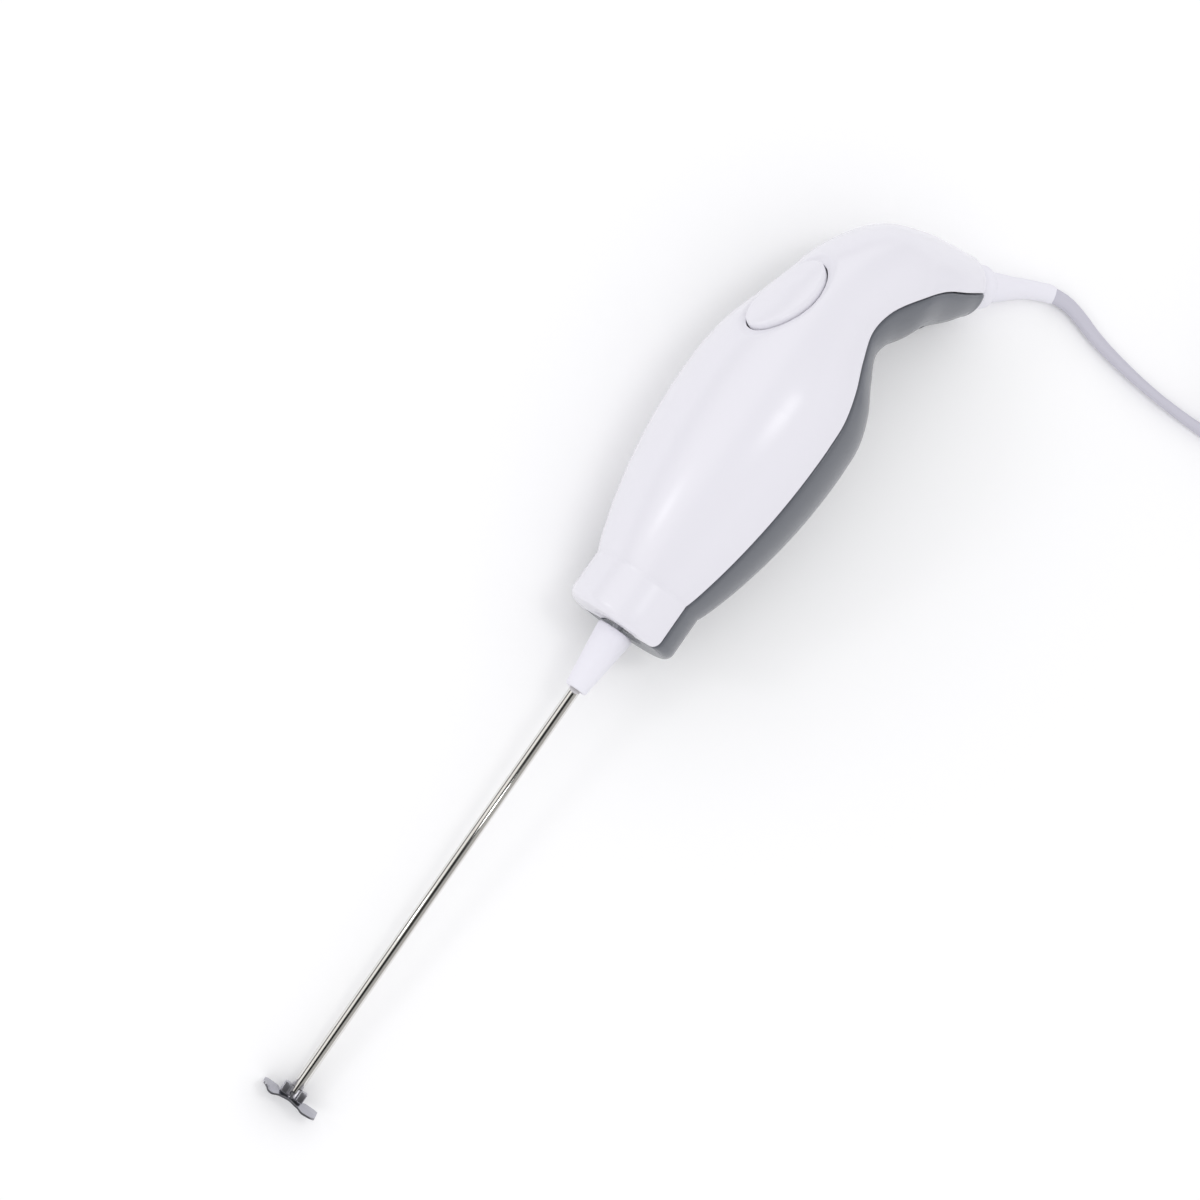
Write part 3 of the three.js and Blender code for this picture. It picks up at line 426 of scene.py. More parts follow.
def carve(obj, *cutters):
    for cutter in cutters:
        modifier = obj.modifiers.new("cut", "BOOLEAN")
        modifier.operation = "DIFFERENCE"
        modifier.solver = "EXACT"
        modifier.object = cutter
        apply_modifiers(obj)
        bpy.data.objects.remove(cutter)
    return obj


def bevel(obj, width, segments=3, angle=35):
    modifier = obj.modifiers.new("edge", "BEVEL")
    modifier.width = width * MM
    modifier.segments = segments
    modifier.limit_method = "ANGLE"
    modifier.angle_limit = math.radians(angle)
    modifier.use_clamp_overlap = True
    return apply_modifiers(obj)


def soften(obj, angle=32):
    obj.data.shade_smooth()
    obj.data.set_sharp_from_angle(angle=math.radians(angle))


def done(obj, body, slot, *nodes, angle=32, material=None):
    """Finishes a piece: smooth shading, its finish, its body and the nodes it stands for."""
    soften(obj, angle)
    dress(obj, slot, material)
    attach(obj, body)
    if nodes:
        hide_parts(*nodes)
    return obj


def smooth_share(low, high, value):
    share = min(max((value - low) / (high - low), 0), 1)
    return share * share * (3 - 2 * share)


# ---------------------------------------------------------------- the body's form

class Section:
    """One section of the body: its middle, radius and lean, in millimetres and radians."""

    def __init__(self, x, rise, radius, lean):
        self.x, self.rise, self.radius, self.lean = x, rise, radius, lean

    def place(self, height, radius, side):
        """A point at a height over the parting plane on a circle of that radius."""
        height = min(max(height, -radius), radius)
        reach = side * math.sqrt(max(radius * radius - height * height, 0))
        return (self.x + height * math.sin(self.lean),
                self.rise + height * math.cos(self.lean), reach)


def past_tail(distance, radius):
    behind, rise, _, lean = HANDLE[-1]
    lean = math.radians(lean)
    return Section(MOTOR_END + behind + distance * math.cos(lean),
                   rise - distance * math.sin(lean), radius, lean)


def skin_sections(settings):
    """Outer sections from the shaft hole over the nose and along the body to the lead."""
    nose = settings.nose_radius / MM
    dish = settings.dish_radius / MM
    outer = [Section(0.7, 0, 2.1, 0), Section(0.7, 0, dish * 0.6, 0),
             Section(0.6, 0, dish * 0.85, 0), Section(0.25, 0, dish * 0.97, 0),
             Section(0.05, 0, dish + 0.1, 0), Section(0, 0, dish + 0.5, 0),
             Section(0, 0, (dish + nose) / 2, 0)]
    outer += [Section(NOSE_EDGE * (1 - cosine), 0, nose - NOSE_EDGE * (1 - sine), 0)
              for sine, cosine in quarter(8)]
    outer += [Section(x, 0, nose, 0) for x in (5, 8, 11, 12.4)]
    steps = 46
    for i in range(steps):
        share = (i / steps) ** BELLY_SPACING
        swell = math.sin(math.pi / 2 * share ** BELLY_SHAPE)
        outer.append(Section(NOSE_LENGTH + (BELLY_AT - NOSE_LENGTH) * share, 0,
                             nose + (BELLY_RADIUS - nose) * swell, 0))
    spine = [(BELLY_AT, 0, BELLY_RADIUS)] + [(MOTOR_END + x, y, r) for x, y, r, _ in HANDLE]
    leans = [(0, 0, 0)] + [(lean, 0, 0) for *_, lean in HANDLE]
    steps = 96
    for i in range(steps + 1):
        x, rise, radius = spline(spine, i / steps)
        lean = math.radians(spline(leans, i / steps, even=True).x)
        outer.append(Section(x, rise, radius, lean))
    outer += [past_tail(TAIL_EDGE * sine, TAIL_RADIUS - TAIL_EDGE * (1 - cosine))
              for sine, cosine in quarter(8)[1:]]
    outer.append(past_tail(TAIL_EDGE, NECK_BORE))
    return outer


def inner_section(outer, wall):
    """The inside of the shell opposite an outer section."""
    behind, _, _, lean = HANDLE[-1]
    if outer.x < END_WALL + 1 and outer.lean == 0:
        return Section(END_WALL, 0, min(outer.radius, 12), 0)
    if outer.lean > math.radians(lean) - 1e-6:
        return past_tail(TAIL_EDGE - END_WALL, min(outer.radius, TAIL_RADIUS - wall - 0.8))
    return Section(outer.x, outer.rise, outer.radius - wall, outer.lean)


def half_shell(name, settings, side, dip=None):
    """One shell: side +1 is the button's. Its edge is rounded where the shells part."""
    wall = settings.wall / MM
    edge = (settings.edge if side > 0 else settings.grey_edge) / MM
    lip = settings.parting / MM / 2
    columns, rounds = 72, 5
    sections = skin_sections(settings)
    rings = []
    for outer in sections:
        radius = outer.radius
        ring = []
        for i in range(rounds):
            turn = math.pi / 2 * (1 - i / rounds)
            ring.append((lip + edge * (1 - math.sin(turn)), edge * (1 - math.cos(turn)), -1))
        start = math.acos(min((lip + edge) / radius, 1))
        for i in range(columns + 1):
            angle = -start + 2 * start * i / columns
            ring.append((radius * math.cos(angle), 0, 1 if angle >= 0 else -1))
        for i in range(rounds):
            turn = math.pi / 2 * (i + 1) / rounds
            ring.append((lip + edge * (1 - math.sin(turn)), edge * (1 - math.cos(turn)), 1))
        skin = [outer.place(side * h, max(radius - inset, 1), way) for h, inset, way in ring]
        if dip:
            skin = [dip(Vector(point)) for point in skin]
        inner = inner_section(outer, wall)
        back = []
        for i in range(len(ring)):
            angle = math.acos(min(lip / inner.radius, 1)) * (1 - 2 * i / (len(ring) - 1))
            back.append(inner.place(side * inner.radius * math.cos(angle), inner.radius,
                                    1 if angle >= 0 else -1))
        rings.append([tool(*p) for p in skin] + [tool(*p) for p in back])
    return loft(name, rings)


def crest_ray(settings):
    """A way to find how high the undipped body stands under a place in the button's frame."""
    corners, faces = [], []
    sections = [s for s in skin_sections(settings) if 60 < s.x < 125]
    count = 49
    for section in sections:
        for i in range(count):
            angle = math.pi * (i / (count - 1) - 0.5)
            corners.append(section.place(section.radius * math.cos(angle), section.radius,
                                         math.copysign(1, angle)))
    for i in range(len(sections) - 1):
        for j in range(count - 1):
            a = i * count + j
            faces.append((a, a + 1, a + count + 1, a + count))
    tree = BVHTree.FromPolygons(corners, faces)
    rise = tree.ray_cast(Vector((BUTTON_AT, 60, 0)), Vector((0, -1, 0)))[0].y
    place = (Matrix.Translation((BUTTON_AT, rise, 0))
             @ Matrix.Rotation(-math.radians(BUTTON_TILT), 4, "Z"))
    down = place.to_3x3() @ Vector((0, -1, 0))

    def height(x, z):
        hit = tree.ray_cast(place @ Vector((x, 20, z)), down)[0]
        return (place.inverted() @ hit).y
    return place, height


def oval_prism(name, place, half_length, half_width, low, high, sides=96):
    rings = [[TOOL @ (place @ Vector((half_length * math.cos(t), y, half_width * math.sin(t)))
                      * MM) for t in angles(sides)]
             for y in (low, high)]
    return loft(name, rings)


def post(name, place, radius, low, high, sides=40):
    return oval_prism(name, place, radius, radius, low, high, sides)


# ---------------------------------------------------------------- the lead's route

TAIL_FACE = past_tail(TAIL_EDGE, 0)
EXIT = tool(TAIL_FACE.x, TAIL_FACE.rise)
TAIL_PLACE = (Matrix.Translation((TAIL_FACE.x, TAIL_FACE.rise, 0))
              @ Matrix.Rotation(-TAIL_FACE.lean, 4, "Z"))
RELIEF_ROUTE = [(5, -6, 5.7), (9.6, -12, 3.5), (13.4, -17.3, 2.62), (14.8, -22, 2.5)]
LEAD_ROUTE = [(14.9, -22.5, 2.5), (15.2, -26.5, 2.3), (14.3, -31.5, 2.15), (12.7, -37, 2.15),
              (10.9, -46, 2.15), (9.6, -57, 2.15), (9.1, -68, 2.15), (9.3, -78, 2.15),
              (9.9, -88.6, 2.15)]
COIL_AT = (37.5, -104.5)
PLUG_LEAD_ROUTE = [(51, -133.5, 2.15), (60, -136.5, 2.15), (70, -136, 2.15),
                   (79, -131.5, 2.15), (84.6, -123.5, 3.5), (86.4, -114.5, 5.6),
                   (86.5, -108.8, 6.85)]
PLUG_AT = (86.5, -108.5)
PLUG = (35.3, 36, 13.7)
PIN_SPACING = 19
RELIEF_STEP = 0.8        # steps along the lead's curves, in millimetres
LEAD_STEP = 2
FINE_STEP = 0.2
UNTWISTED = 4            # length of the lead that leaves the relief before it twists
# The stored turns: where the run starts inwards, and over how many turns; the same outwards;
# where it climbs to the second and the third layer; height of the lowest layer and each rise.
INWARDS, OUTWARDS = (0.6, 1.1), (3.2, 1.15)
CLIMBS = ((2.6, 3.2), (5.6, 6.1))
LAYER_LOW, LAYER_RISE = 1.55, 2.95
PAST_TURNS = 80 / 360
TURN_STEPS = 36
WAIST_DEPTH, WAIST_REACH, SQUARENESS = 0.1, 0.3, 0.85


def on_table(x, y, z):
    """A place given from the lead's exit, in millimetres, with z over the table."""
    return Vector((EXIT.x + x * MM, EXIT.y + y * MM, z * MM))


def relief_points():
    inside = [TOOL @ (TAIL_PLACE @ Vector((x, 0, 0)) * MM) for x in (-4.9, -1.6, 0.3, 2)]
    return inside + [on_table(*p) for p in RELIEF_ROUTE]


def evenly(points, step):
    """Points a step apart along the smooth curve through the given ones."""
    fine = [spline(points, i / 1200) for i in range(1201)]
    far = [0.0]
    for a, b in zip(fine, fine[1:]):
        far.append(far[-1] + (b - a).length)
    count = max(2, round(far[-1] / step))
    result, at = [], 0
    for i in range(count + 1):
        want = far[-1] * i / count
        while at < len(far) - 2 and far[at + 1] < want:
            at += 1
        share = (want - far[at]) / max(far[at + 1] - far[at], 1e-12)
        result.append(fine[at].lerp(fine[at + 1], min(max(share, 0), 1)))
    return result


def coil_points(settings):
    """The stored turns: inwards along the table, outwards on top of them, then the last."""
    middle, gap = settings.coil_middle / MM, settings.turn_gap / MM
    last = settings.turns + PAST_TURNS
    points = []
    steps = round(last * TURN_STEPS)
    for i in range(1, steps + 1):
        turn = last * i / steps
        if turn < 3:
            radial = 1 - max(turn - INWARDS[0], 0) / INWARDS[1]
        else:
            radial = max(turn - OUTWARDS[0], 0) / OUTWARDS[1] - 1
        radial = max(-1, min(1, radial))
        level = sum(smooth_share(low, high, turn) for low, high in CLIMBS)
        angle = math.pi + 2 * math.pi * turn
        radius = middle + gap * radial
        points.append(on_table(COIL_AT[0] + radius * math.cos(angle),
                               COIL_AT[1] + radius * math.sin(angle),
                               LAYER_LOW + LAYER_RISE * level))
    return points


def lead_path(settings):
    """Every ring centre of the lead, with the roll of its flat section there."""
    relief = evenly(relief_points(), RELIEF_STEP * MM)
    loose = evenly([relief[-10], relief[-5]] + [on_table(*p) for p in LEAD_ROUTE],
                   LEAD_STEP * MM)
    coil = coil_points(settings)
    away = coil[-1] + (coil[-1] - coil[-2]).normalized() * 0.011
    away.z -= 0.9 * MM
    last = evenly([coil[-1], away] + [on_table(*p) for p in PLUG_LEAD_ROUTE], LEAD_STEP * MM)
    rolls = [min(settings.twist * max(LEAD_STEP * i - UNTWISTED, 0) * MM, math.pi)
             for i in range(len(loose))]
    path = [point.copy() for point in loose] + coil + last[1:]
    rolls += [math.pi] * (len(coil) + len(last) - 1)
    half_wide, half_thick = settings.wide / 2, settings.thick / 2
    for i in range(len(loose) + 2):
        rest = math.hypot(half_wide * math.sin(rolls[i]), half_thick * math.cos(rolls[i]))
        path[i].z += (rest + 0.05 * MM - path[i].z) * smooth_share(5, 14, i)
    return path, rolls


def flat_rings(path, rolls, half_wide, half_thick, sides=20):
    """Rings of a flat section along a path, level at roll 0, with a shallow waist."""
    rings = []
    for i, middle in enumerate(path):
        way = (path[min(i + 1, len(path) - 1)] - path[max(i - 1, 0)]).normalized()
        side = way.cross(Vector((0, 0, 1))).normalized()
        up = side.cross(way)
        across = side * math.cos(rolls[i]) + up * math.sin(rolls[i])
        over = way.cross(across)
        ring = []
        for t in angles(sides):
            waist = 1 - WAIST_DEPTH * math.exp(-(math.cos(t) / WAIST_REACH) ** 2)
            ring.append(middle + across * half_wide * math.cos(t)
                        + over * half_thick * waist * math.copysign(
                            abs(math.sin(t)) ** SQUARENESS, math.sin(t)))
        rings.append(ring)
    return rings


# ---------------------------------------------------------------- operators

AIM = (4.5, 7)    # how far left of and over the rod's origin the view looks, in millimetres


def settings_of(context):
    scene = context.scene
    return scene.frother_shell, scene.frother_whisk, scene.frother_lead, scene.frother_stage


class FROTHER_OT_camera(bpy.types.Operator):
    """Sets the camera in front of the frother"""
    bl_idname = "frother.camera"
    bl_label = "Camera"

    def execute(self, context):
        stage = settings_of(context)[3]
        right, up, towards, target = view_axes(stage)
        data = bpy.data.cameras.new("camera")
        data.lens, data.sensor_width = stage.lens, 36
        data.clip_start, data.clip_end = 0.01, 50
        camera = bpy.data.objects.new("camera", data)
        camera.matrix_world = Matrix((right, up, towards)).transposed().to_4x4()
        camera.matrix_world.translation = target + towards * stage.distance
        context.scene.collection.objects.link(camera)
        context.scene.camera = camera
        return {"FINISHED"}


def view_axes(stage):
    """The view's right, up and backward directions, and the point it looks at."""
    out = UP * math.sin(stage.roll) + SIDE * math.cos(stage.roll)
    towards = out * math.cos(stage.dip) - ALONG * math.sin(stage.dip)
    along = ALONG * math.cos(stage.dip) + out * math.sin(stage.dip)
    across = SIDE * math.sin(stage.roll) - UP * math.cos(stage.roll)
    right = along * math.cos(stage.spin) + across * math.sin(stage.spin)
    up = along * math.sin(stage.spin) - across * math.cos(stage.spin)
    return right, up, towards, ORIGIN - right * AIM[0] * MM + up * AIM[1] * MM


class FROTHER_OT_finishes(bpy.types.Operator):
    """Makes every finish and gives it to the parts that keep their own shape"""
    bl_idname = "frother.finishes"
    bl_label = "Finishes"

    def execute(self, context):
        shell, whisk, lead, _ = settings_of(context)
        mottle_group()
        grain_group()
        chosen = {"shell_white": shell.white, "shell_grey": shell.grey,
                  "socket_white": whisk.cone, "polished_steel": whisk.steel,
                  "lead_pvc": lead.pvc}
        for slot, entry in SLOTS.items():
            finish(slot, tuple(chosen.get(slot, entry["base_color"])))
        finish("blade_steel", BLADE_TINT)
        for name, node in frame["nodes"].items():
            dress(node, NODE_SLOTS[name])
        return {"FINISHED"}


class FROTHER_OT_lead(bpy.types.Operator):
    """Lays the mains lead: strain relief, loose stretch, stored coil, tie and plug"""
    bl_idname = "frother.lead"
    bl_label = "Mains lead"

    def execute(self, context):
        lead = settings_of(context)[2]
        path, rolls = lead_path(lead)
        rings = flat_rings(path, rolls, lead.wide / 2, lead.thick / 2)
        cord = done(loft("mains_lead", rings), "housing", "lead_pvc",
                    "cord_lead", "cord_coil", "plug_lead", angle=60)
        pieces = [strain_relief(lead), coil_tie(lead), plug_body(), *plug_pins()]
        length = sum((b - a).length for a, b in zip(path, path[1:]))
        [tuple(p) for p in path]
        return {"FINISHED"}


def strain_relief(lead):
    """A collar on the tail's end, then a sleeve that tapers to the lead."""
    outline = [(0, 5.9), (1.6, 5.9), (1.6, 4.4), (5.2, 4.4), (5.2, 5.4), (5.35, 5.8),
               (5.7, 6.0), (9.8, 5.8), (10.3, 5.65), (10.7, 5.3), (11.2, 4.6), (11.6, 4.35),
               (12.4, 4.25), (16, 3.8), (21, 3.0), (24, 2.7)]
    points = evenly(relief_points(), FINE_STEP * MM)
    total = FINE_STEP * (len(points) - 1)
    rings = []
    mouth = [(total - 2.2, 2.56), (total - 0.5, 2.44), (total - 0.1, 2.3), (total, 2.0)]
    for far, radius in outline + mouth:
        index = min(round(far / FINE_STEP), len(points) - 2)
        way = (points[index + 1] - points[index]).normalized()
        side = way.cross(Vector((0, 0, 1))).normalized()
        up = side.cross(way)
        flat = 1 - 0.22 * smooth_share(12, total, far)
        rings.append([points[index] + (side * radius * math.cos(t)
                                       + up * radius * flat * math.sin(t)) * MM
                      for t in angles(48)])
    return done(loft("strain_relief_sleeve", rings), "housing", "socket_white",
                "strain_relief", angle=50)


def coil_tie(lead):
    """A ribbed strap round the coil's bundle, with a small buckle on top."""
    middle = lead.coil_middle / MM
    half, top, wide, thick = 7.15, 10.9, 8, 0.7
    centre = on_table(COIL_AT[0] + middle, COIL_AT[1], 0)
    loop = []
    for t in angles(64):
        x = half * math.copysign(abs(math.cos(t)) ** 0.45, math.cos(t))
        z = top / 2 + (top / 2 - 0.02) * math.copysign(abs(math.sin(t)) ** 0.45, math.sin(t))
        loop.append((x, z, math.cos(t), math.sin(t)))
    rings = []
    for i, (x, z, nx, nz) in enumerate(loop):
        raised = 0.12 * (i % 2)
        ring = []
        for y, inset in ((-wide / 2, 0.15), (-wide / 2 + 0.3, 0), (wide / 2 - 0.3, 0),
                         (wide / 2, 0.15)):
            push = raised - inset if z > 1.5 else -inset
            ring.append(centre + Vector((x + nx * push, y, max(z + nz * push, 0.02))) * MM)
        for y in (wide / 2, -wide / 2):
            ring.append(centre + Vector((x - nx * thick * (1 if abs(nx) > 0.2 else 0.3), y,
                                         z - nz * thick)) * MM)
        rings.append(ring)
    strap = done(loft("coil_strap", rings, closed=True), "housing", "tie", "cord_tie", angle=40)
    corners = [(-3.4, -4.7), (3.4, -4.7), (3.4, 4.7), (-3.4, 4.7)]
    buckle = loft("strap_buckle", [[centre + Vector((x, y, z)) * MM for x, y in corners]
                                   for z in (top - 0.3, top + 1.0)])
    done(bevel(buckle, 0.45), "housing", "dark_plastic")
    return strap


def plug_body():
    wide, long, thick = PLUG
    half = wide / 2
    front = [(-4, 0), (4, 0), (half - 4, 12), (half, 20), (half, long)]
    outline = front + [(-half, long), (-half, 20), (4 - half, 12)]
    origin = on_table(*PLUG_AT, 0)
    rings = []
    for z, inset in ((0, 2), (0.6, 0.8), (2, 0), (thick / 2 - 0.35, 0), (thick / 2 - 0.3, 0.25),
                     (thick / 2 + 0.3, 0.25), (thick / 2 + 0.35, 0), (thick - 2, 0),
                     (thick - 0.6, 0.8), (thick, 2)):
        ring = []
        for x, y in outline:
            grow = (half - inset) / half
            ring.append(origin + Vector((x * grow, min(max(y, inset), long - inset), z)) * MM)
        rings.append(ring)
    body = bevel(loft("plug_housing", rings), 1.1, 4, 22)
    grips = []
    for side in (1, -1):
        for i in range(5):
            y = 21 + 2.6 * i
            centre = origin + Vector((side * (half + 0.2), y, thick / 2)) * MM
            grips.append(upright("grip", centre, 0.75, 4.2))
    body = carve(body, *grips)
    return done(body, "housing", "lead_pvc", "plug_body", angle=40)


def upright(name, centre, radius, half_height, sides=20):
    rings = [[centre + Vector((radius * math.cos(t), radius * math.sin(t), z)) * MM
              for t in angles(sides)]
             for z in (-half_height, half_height)]
    return loft(name, rings)


def plug_pins():
    """Two round contact pins: an insulated sleeve, then a bare rounded end."""
    _, long, thick = PLUG
    pieces = []
    for i, side in enumerate((1, -1)):
        place = (Matrix.Translation(on_table(*PLUG_AT, thick / 2)
                                    + Vector((side * PIN_SPACING / 2, 0, 0)) * MM)
                 @ Matrix.Rotation(math.pi / 2, 4, "Z"))
        bare = [(long - 1, 0.4), (long - 1, 1.7), (long + 9, 1.7), (long + 9.2, 2),
                (long + 17.4, 2), (long + 18.4, 1.7), (long + 18.9, 1.1), (long + 19, 0.3)]
        sleeve = [(long - 1, 1.72), (long - 1, 1.95), (long + 9, 1.95), (long + 9.15, 1.85),
                  (long + 9.15, 1.72)]
        pin = turned(f"contact_pin_{i + 1}", bare, 40, place)
        pieces.append(done(pin, "housing", "pin_metal", f"plug_pin_{i + 1}", angle=40))
        cover = turned(f"pin_sleeve_{i + 1}", sleeve, 40, place)
        pieces.append(done(cover, "housing", "dark_plastic", angle=40))
    return pieces


class FROTHER_OT_shells(bpy.types.Operator):
    """Forms the white and the grey shell with the thumb recess and the screw wells"""
    bl_idname = "frother.shells"
    bl_label = "Shells"

    def execute(self, context):
        shell = settings_of(context)[0]
        place, _ = crest_ray(shell)
        back = place.inverted()
        down = place.to_3x3() @ Vector((0, -1, 0))

        def dip(point):
            local = back @ point
            if local.y < -12:
                return tuple(point)
            reach = math.hypot(local.x / (shell.recess_length / MM),
                               local.z / (shell.recess_width / MM))
            depth = shell.recess_depth / MM * (1 - smooth_share(0.86, 1.0, reach))
            return tuple(point + down * depth)

        white = half_shell("white_shell", shell, 1, dip)
        opening = oval_prism("opening", place, (shell.button_length + shell.button_slot) / MM,
                             (shell.button_width + shell.button_slot) / MM, -10, 10)
        done(carve(white, opening), "housing", "shell_white", "top_shell", angle=50)
        grey = half_shell("grey_shell", shell, -1)
        wells = []
        for x, out, head in (SCREWS_NOSE, SCREWS_TAIL):
            base = Matrix.Identity(4) if x == SCREWS_NOSE[0] else TAIL_PLACE
            along = x if x == SCREWS_NOSE[0] else -x
            for side in (1, -1):
                well = base @ Matrix.Translation((along, 0, side * out))
                wells.append(post("well", well, WELL_RADIUS, -40, head))
        done(carve(grey, *wells), "housing", "shell_grey", "rear_shell", angle=50)
        return {"FINISHED"}


class FROTHER_OT_button(bpy.types.Operator):
    """Forms the domed thumb button that follows the crest"""
    bl_idname = "frother.button"
    bl_label = "Button"

    def execute(self, context):
        shell = settings_of(context)[0]
        place, height = crest_ray(shell)
        long, wide = shell.button_length / MM, shell.button_width / MM
        proud, edge, sides = shell.button_proud / MM, 0.9, 96
        levels = [(share, 0) for share in (0.02, 0.15, 0.3, 0.45, 0.6, 0.75, 0.86)]
        levels += [(None, (edge * (1 - sine), edge * (1 - cosine)))
                   for sine, cosine in quarter(8)]
        rings = []
        for share, rolled in levels:
            inset, drop = rolled if rolled else (0, 0)
            ring = []
            for t in angles(sides):
                a, b = (long - inset, wide - inset) if share is None else \
                    ((long - edge) * share, (wide - edge) * share)
                x, z = a * math.cos(t), b * math.sin(t)
                ring.append((x, height(x, z) + proud - drop, z))
            rings.append(ring)
        rings.append([(x, y - 3.2, z) for x, y, z in rings[-1]])
        world = [[TOOL @ (place @ Vector(p) * MM) for p in ring] for ring in rings]
        done(loft("thumb_button", world), "button", "shell_white", "button", angle=50)
        return {"FINISHED"}


class FROTHER_OT_whisk(bpy.types.Operator):
    """Makes the cone, the steel rod, the hub and the froth blade"""
    bl_idname = "frother.whisk"
    bl_label = "Whisk"

    def execute(self, context):
        whisk = settings_of(context)[1]
        back = -whisk.standoff / MM
        front = back - whisk.socket_length / MM
        wide, narrow = whisk.socket_wide / MM, whisk.socket_narrow / MM
        radius = whisk.rod_radius / MM
        outline = [(front + 6.2, radius + 0.15), (front + 0.25, radius + 0.15),
                   (front + 0.05, radius + 0.4), (front, radius + 0.6),
                   (front, narrow - 0.55), (front + 0.1, narrow - 0.25),
                   (front + 0.35, narrow - 0.05), (front + 0.7, narrow),
                   (front + 1.1, narrow), (front + 1.5, narrow + 0.05),
                   (back - 1.1, wide - 0.05), (back - 0.45, wide),
                   (back - 0.12, wide - 0.12), (back, wide - 0.4), (back, radius + 0.3),
                   (back - 10.2, radius + 0.3)]
        cone = turned("rod_cone", outline, 96)
        done(cone, "whisk", "socket_white", "rod_socket", angle=50)
        rod_from, rod_to = front + ROD_SEAT, front + ROD_SEAT - ROD_LENGTH
        rod = turned("steel_rod", [(rod_to, 0.2), (rod_to, radius - 0.15),
                                   (rod_to + 0.15, radius), (rod_from - 0.2, radius),
                                   (rod_from, radius - 0.2), (rod_from, 0.2)], 64)
        done(rod, "whisk", "polished_steel", "whisk_rod", angle=50)
        hub_at = rod_to + 1.3
        turn = TOOL @ Matrix.Rotation(BLADE_TURN, 4, "X")
        hub(turn, hub_at, whisk)
        blade(turn, hub_at - HUB_LENGTH - BLADE_GAP - BLADE_HALF_THICK, whisk)
        return {"FINISHED"}


def hub(place, top, whisk):
    """A small block with a rounded channel and a cross hole in its near side."""
    long, half, wide = HUB_LENGTH, 2.2, whisk.hub_width / MM / 2
    channel = [(1.35 * math.sin(t), half - 0.75 * math.cos(t))
               for t in (math.pi / 2 * (i / 6 - 1) for i in range(13))]
    outline = [(-wide, -half), (wide, -half), (wide, half)] \
        + [(z, y) for z, y in reversed(channel)] + [(-wide, half)]
    rings = [[place @ (Vector((x, y, z)) * MM) for z, y in outline]
             for x in (top - long, top)]
    block = bevel(loft("blade_hub", rings), 0.28, 3, 40)
    hole = [[place @ (Vector((top - 1.75 + 0.5 * math.cos(t), y, 0.5 * math.sin(t) - 0.35)) * MM)
             for t in angles(24)] for y in (0.6, 4)]
    rod_hole = [[place @ (Vector((x, 1.62 * math.cos(t), 1.62 * math.sin(t))) * MM)
                 for t in angles(40)]
                for x in (top - 1.4, top + 1)]
    block = carve(block, loft("hole", hole), loft("bore", rod_hole))
    rivet = [(top - 1.6, 0.2), (top - 1.6, 0.88), (top - 3.45, 0.88), (top - 3.45, 1.35),
             (top - 3.6, 1.3), (top - 3.75, 1.0), (top - 3.8, 0.3)]
    done(block, "whisk", "polished_steel", "whisk_hub", angle=40, material="blade_steel")
    done(turned("blade_rivet", rivet, 32, place), "whisk", "polished_steel", angle=40,
         material="blade_steel")


# How far the near edge hangs, in millimetres, at shares of the span.
BLADE_DROPS = [(-0.5, -0.6), (-0.43, -0.3), (-0.31, 0.6), (-0.17, 0.4), (0, 0.1), (0.16, 0.45),
               (0.3, 0.5), (0.5, 0.2)]


def blade(place, level, whisk):
    """Thin steel with one edge drawn down in waves and a small folded lip."""
    span, half, thick = whisk.blade_span / MM, whisk.blade_chord / MM / 2, BLADE_HALF_THICK
    steps, across = 60, 14
    rings = []
    for i in range(steps + 1):
        share, drop, _ = spline([(a, b, 0) for a, b in BLADE_DROPS], i / steps)
        z = span * share
        corner = 0.5 * smooth_share(span / 2 - 0.9, span / 2, abs(z))
        edge = [-half + corner + (2 * half - 2 * corner) * j / across for j in range(across + 1)]
        lean = smooth_share(2.6, 4.4, abs(z))

        def sheet(y):
            sag = -0.5 * lean * (y / half)
            return sag - (drop + 0.1) * smooth_share(half * 0.1, half, y) ** 0.8

        top = [(sheet(y) + thick, y) for y in edge]
        low = [(sheet(y) - thick, y) for y in reversed(edge)]
        rings.append([place @ (Vector((level + x, y, z)) * MM) for x, y in top + low])
    strip = loft("froth_sheet", rings)
    hole = [[place @ (Vector((x, 1.2 * math.cos(t), 1.2 * math.sin(t))) * MM)
             for t in angles(32)]
            for x in (level - 3, level + 3)]
    strip = bevel(carve(strip, loft("hole", hole)), 0.1, 2, 50)
    done(strip, "whisk", "polished_steel", "froth_blade", angle=50, material="blade_steel")


class FROTHER_OT_stage(bpy.types.Operator):
    """Adds the pale floor and the soft studio light"""
    bl_idname = "frother.stage"
    bl_label = "Stage"

    def execute(self, context):
        stage = settings_of(context)[3]
        reach = 4.0    # metres from the middle to each edge of the floor
        floor = add_mesh("floor", [(-reach, -reach, 0), (reach, -reach, 0), (reach, reach, 0),
                                   (-reach, reach, 0)], [(0, 1, 2, 3)])
        floor.data.materials.append(floor_finish(stage))
        room_light(context.scene, stage)
        out = UP * math.sin(stage.roll) + SIDE * math.cos(stage.roll)
        across = SIDE * math.sin(stage.roll) - UP * math.cos(stage.roll)
        belly = tool(69, 0) + out * 24 * MM
        soft_box(context.scene, "soft_box", belly, out + ALONG * math.tan(math.radians(10.5))
                 + across * math.tan(math.radians(15.6)), 0.9, (0.13, 0.24), stage.key)
        flare = tool(25, 0) + out * 18 * MM
        soft_box(context.scene, "window_box", flare, out - ALONG * math.tan(math.radians(22))
                 - across * math.tan(math.radians(43)), 0.9, (0.12, 0.15), stage.window)
        context.scene.view_settings.view_transform = "Standard"
        return {"FINISHED"}


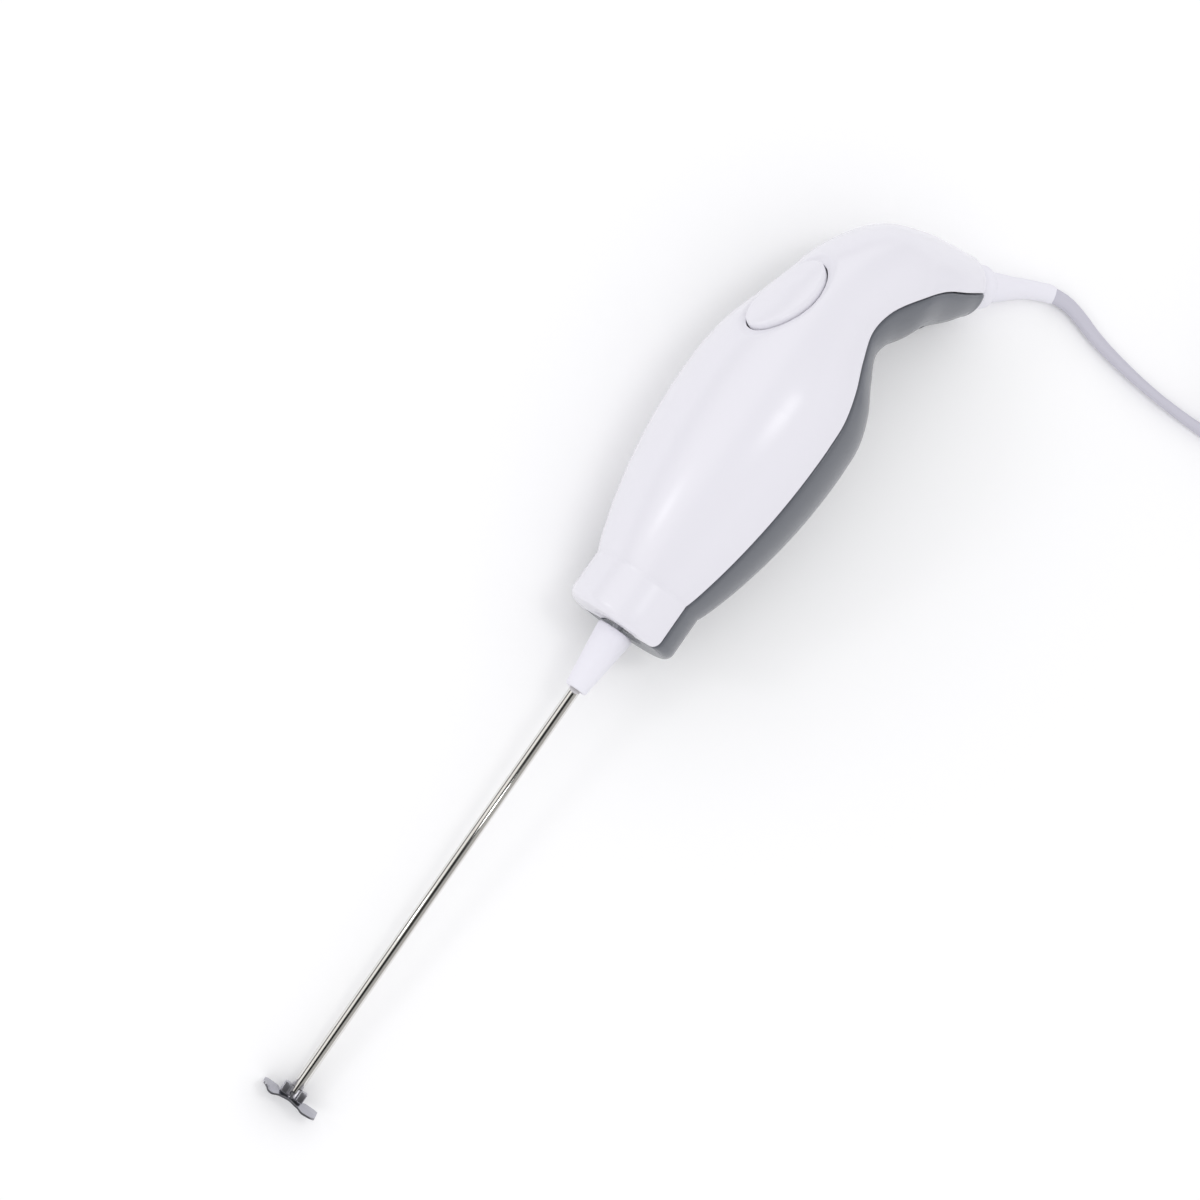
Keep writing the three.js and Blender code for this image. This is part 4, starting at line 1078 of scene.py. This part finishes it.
def soft_box(scene, name, target, direction, distance, size_xy, power):
    light = bpy.data.lights.new(name, "AREA")
    light.shape = "RECTANGLE"
    light.size, light.size_y = size_xy
    light.energy = power
    obj = bpy.data.objects.new(name, light)
    direction = direction.normalized()
    obj.location = target + direction * distance
    obj.rotation_euler = direction.to_track_quat("Z", "Y").to_euler()
    scene.collection.objects.link(obj)


def floor_finish(stage):
    material = bpy.data.materials.new("floor_paint")
    material.use_nodes = True
    nodes = material.node_tree.nodes
    mottle = nodes.new("ShaderNodeGroup")
    mottle.node_tree = bpy.data.node_groups["soft_mottle"]
    preset(mottle, Colour=(*stage.floor, 1), Second_Colour=(*(c * 0.994 for c in stage.floor), 1),
           Scale=3)
    wire(material.node_tree, (mottle, "Colour", nodes["Principled BSDF"], "Base Color"))
    nodes["Principled BSDF"].inputs["Roughness"].default_value = 0.8
    return material


def room_light(scene, stage):
    """Even light for matt surfaces; polished ones see a pale room with a dark ceiling gap."""
    world = bpy.data.worlds.new("studio")
    scene.world = world
    world.use_nodes = True
    nodes = world.node_tree.nodes
    ground = nodes["Background"]
    preset(ground, Color=(0.985, 0.985, 1.0, 1), Strength=stage.fill)
    seen = nodes.new("ShaderNodeBackground")
    place = nodes.new("ShaderNodeTexCoord")
    parts = nodes.new("ShaderNodeSeparateXYZ")
    angle = nodes.new("ShaderNodeMath")
    angle.operation = "ARCTAN2"
    share = nodes.new("ShaderNodeMapRange")
    preset(share, From_Min=math.pi / 2, From_Max=-math.pi / 2)
    ramp = nodes.new("ShaderNodeValToRGB")
    bands = [(0.0, 0.05), (0.09, 0.05), (0.13, 0.95), (0.34, 1.0), (0.39, 0.03), (0.62, 0.03),
             (0.67, 0.42), (0.95, 0.5)]
    for i, (at, grey) in enumerate(bands):
        stop = ramp.color_ramp.elements[i] if i < 2 else ramp.color_ramp.elements.new(at)
        stop.position = at
        stop.color = (grey * 1.02, grey, grey * 0.97, 1)
    path = nodes.new("ShaderNodeLightPath")
    mix = nodes.new("ShaderNodeMixShader")
    wire(world.node_tree, (place, "Generated", parts, "Vector"), (parts, "Y", angle, 0),
         (parts, "Z", angle, 1), (angle, 0, share, "Value"), (share, "Result", ramp, "Fac"),
         (ramp, "Color", seen, "Color"), (path, "Is Glossy Ray", mix, "Fac"),
         (ground, "Background", mix, 1), (seen, "Background", mix, 2),
         (mix, "Shader", nodes["World Output"], "Surface"))


class FROTHER_PT_panel(bpy.types.Panel):
    """Lists the frother's pieces in the order they are made"""
    bl_idname = "FROTHER_PT_panel"
    bl_label = "Milk frother"
    bl_space_type = "VIEW_3D"
    bl_region_type = "UI"
    bl_category = "Frother"

    def draw(self, context):
        for operator in OPERATORS:
            self.layout.operator(operator.bl_idname)
        for settings in settings_of(context):
            box = self.layout.box()
            for name in settings.__annotations__:
                box.prop(settings, name)


OPERATORS = (FROTHER_OT_camera, FROTHER_OT_finishes, FROTHER_OT_lead, FROTHER_OT_shells,
             FROTHER_OT_button, FROTHER_OT_whisk, FROTHER_OT_stage)
GROUPS = {"frother_shell": FrotherShellSettings, "frother_whisk": FrotherWhiskSettings,
          "frother_lead": FrotherLeadSettings, "frother_stage": FrotherStageSettings}


def register():
    for item in (*GROUPS.values(), *OPERATORS, FROTHER_PT_panel):
        bpy.utils.register_class(item)
    for name, group in GROUPS.items():
        setattr(bpy.types.Scene, name, PointerProperty(type=group))


def unregister():
    for name in GROUPS:
        delattr(bpy.types.Scene, name)
    for item in (FROTHER_PT_panel, *reversed(OPERATORS), *reversed(GROUPS.values())):
        bpy.utils.unregister_class(item)


def main():
    register()
    for operator in OPERATORS:
        getattr(bpy.ops.frother, operator.bl_idname.split(".")[1])()


if __name__ == "__main__":
    main()
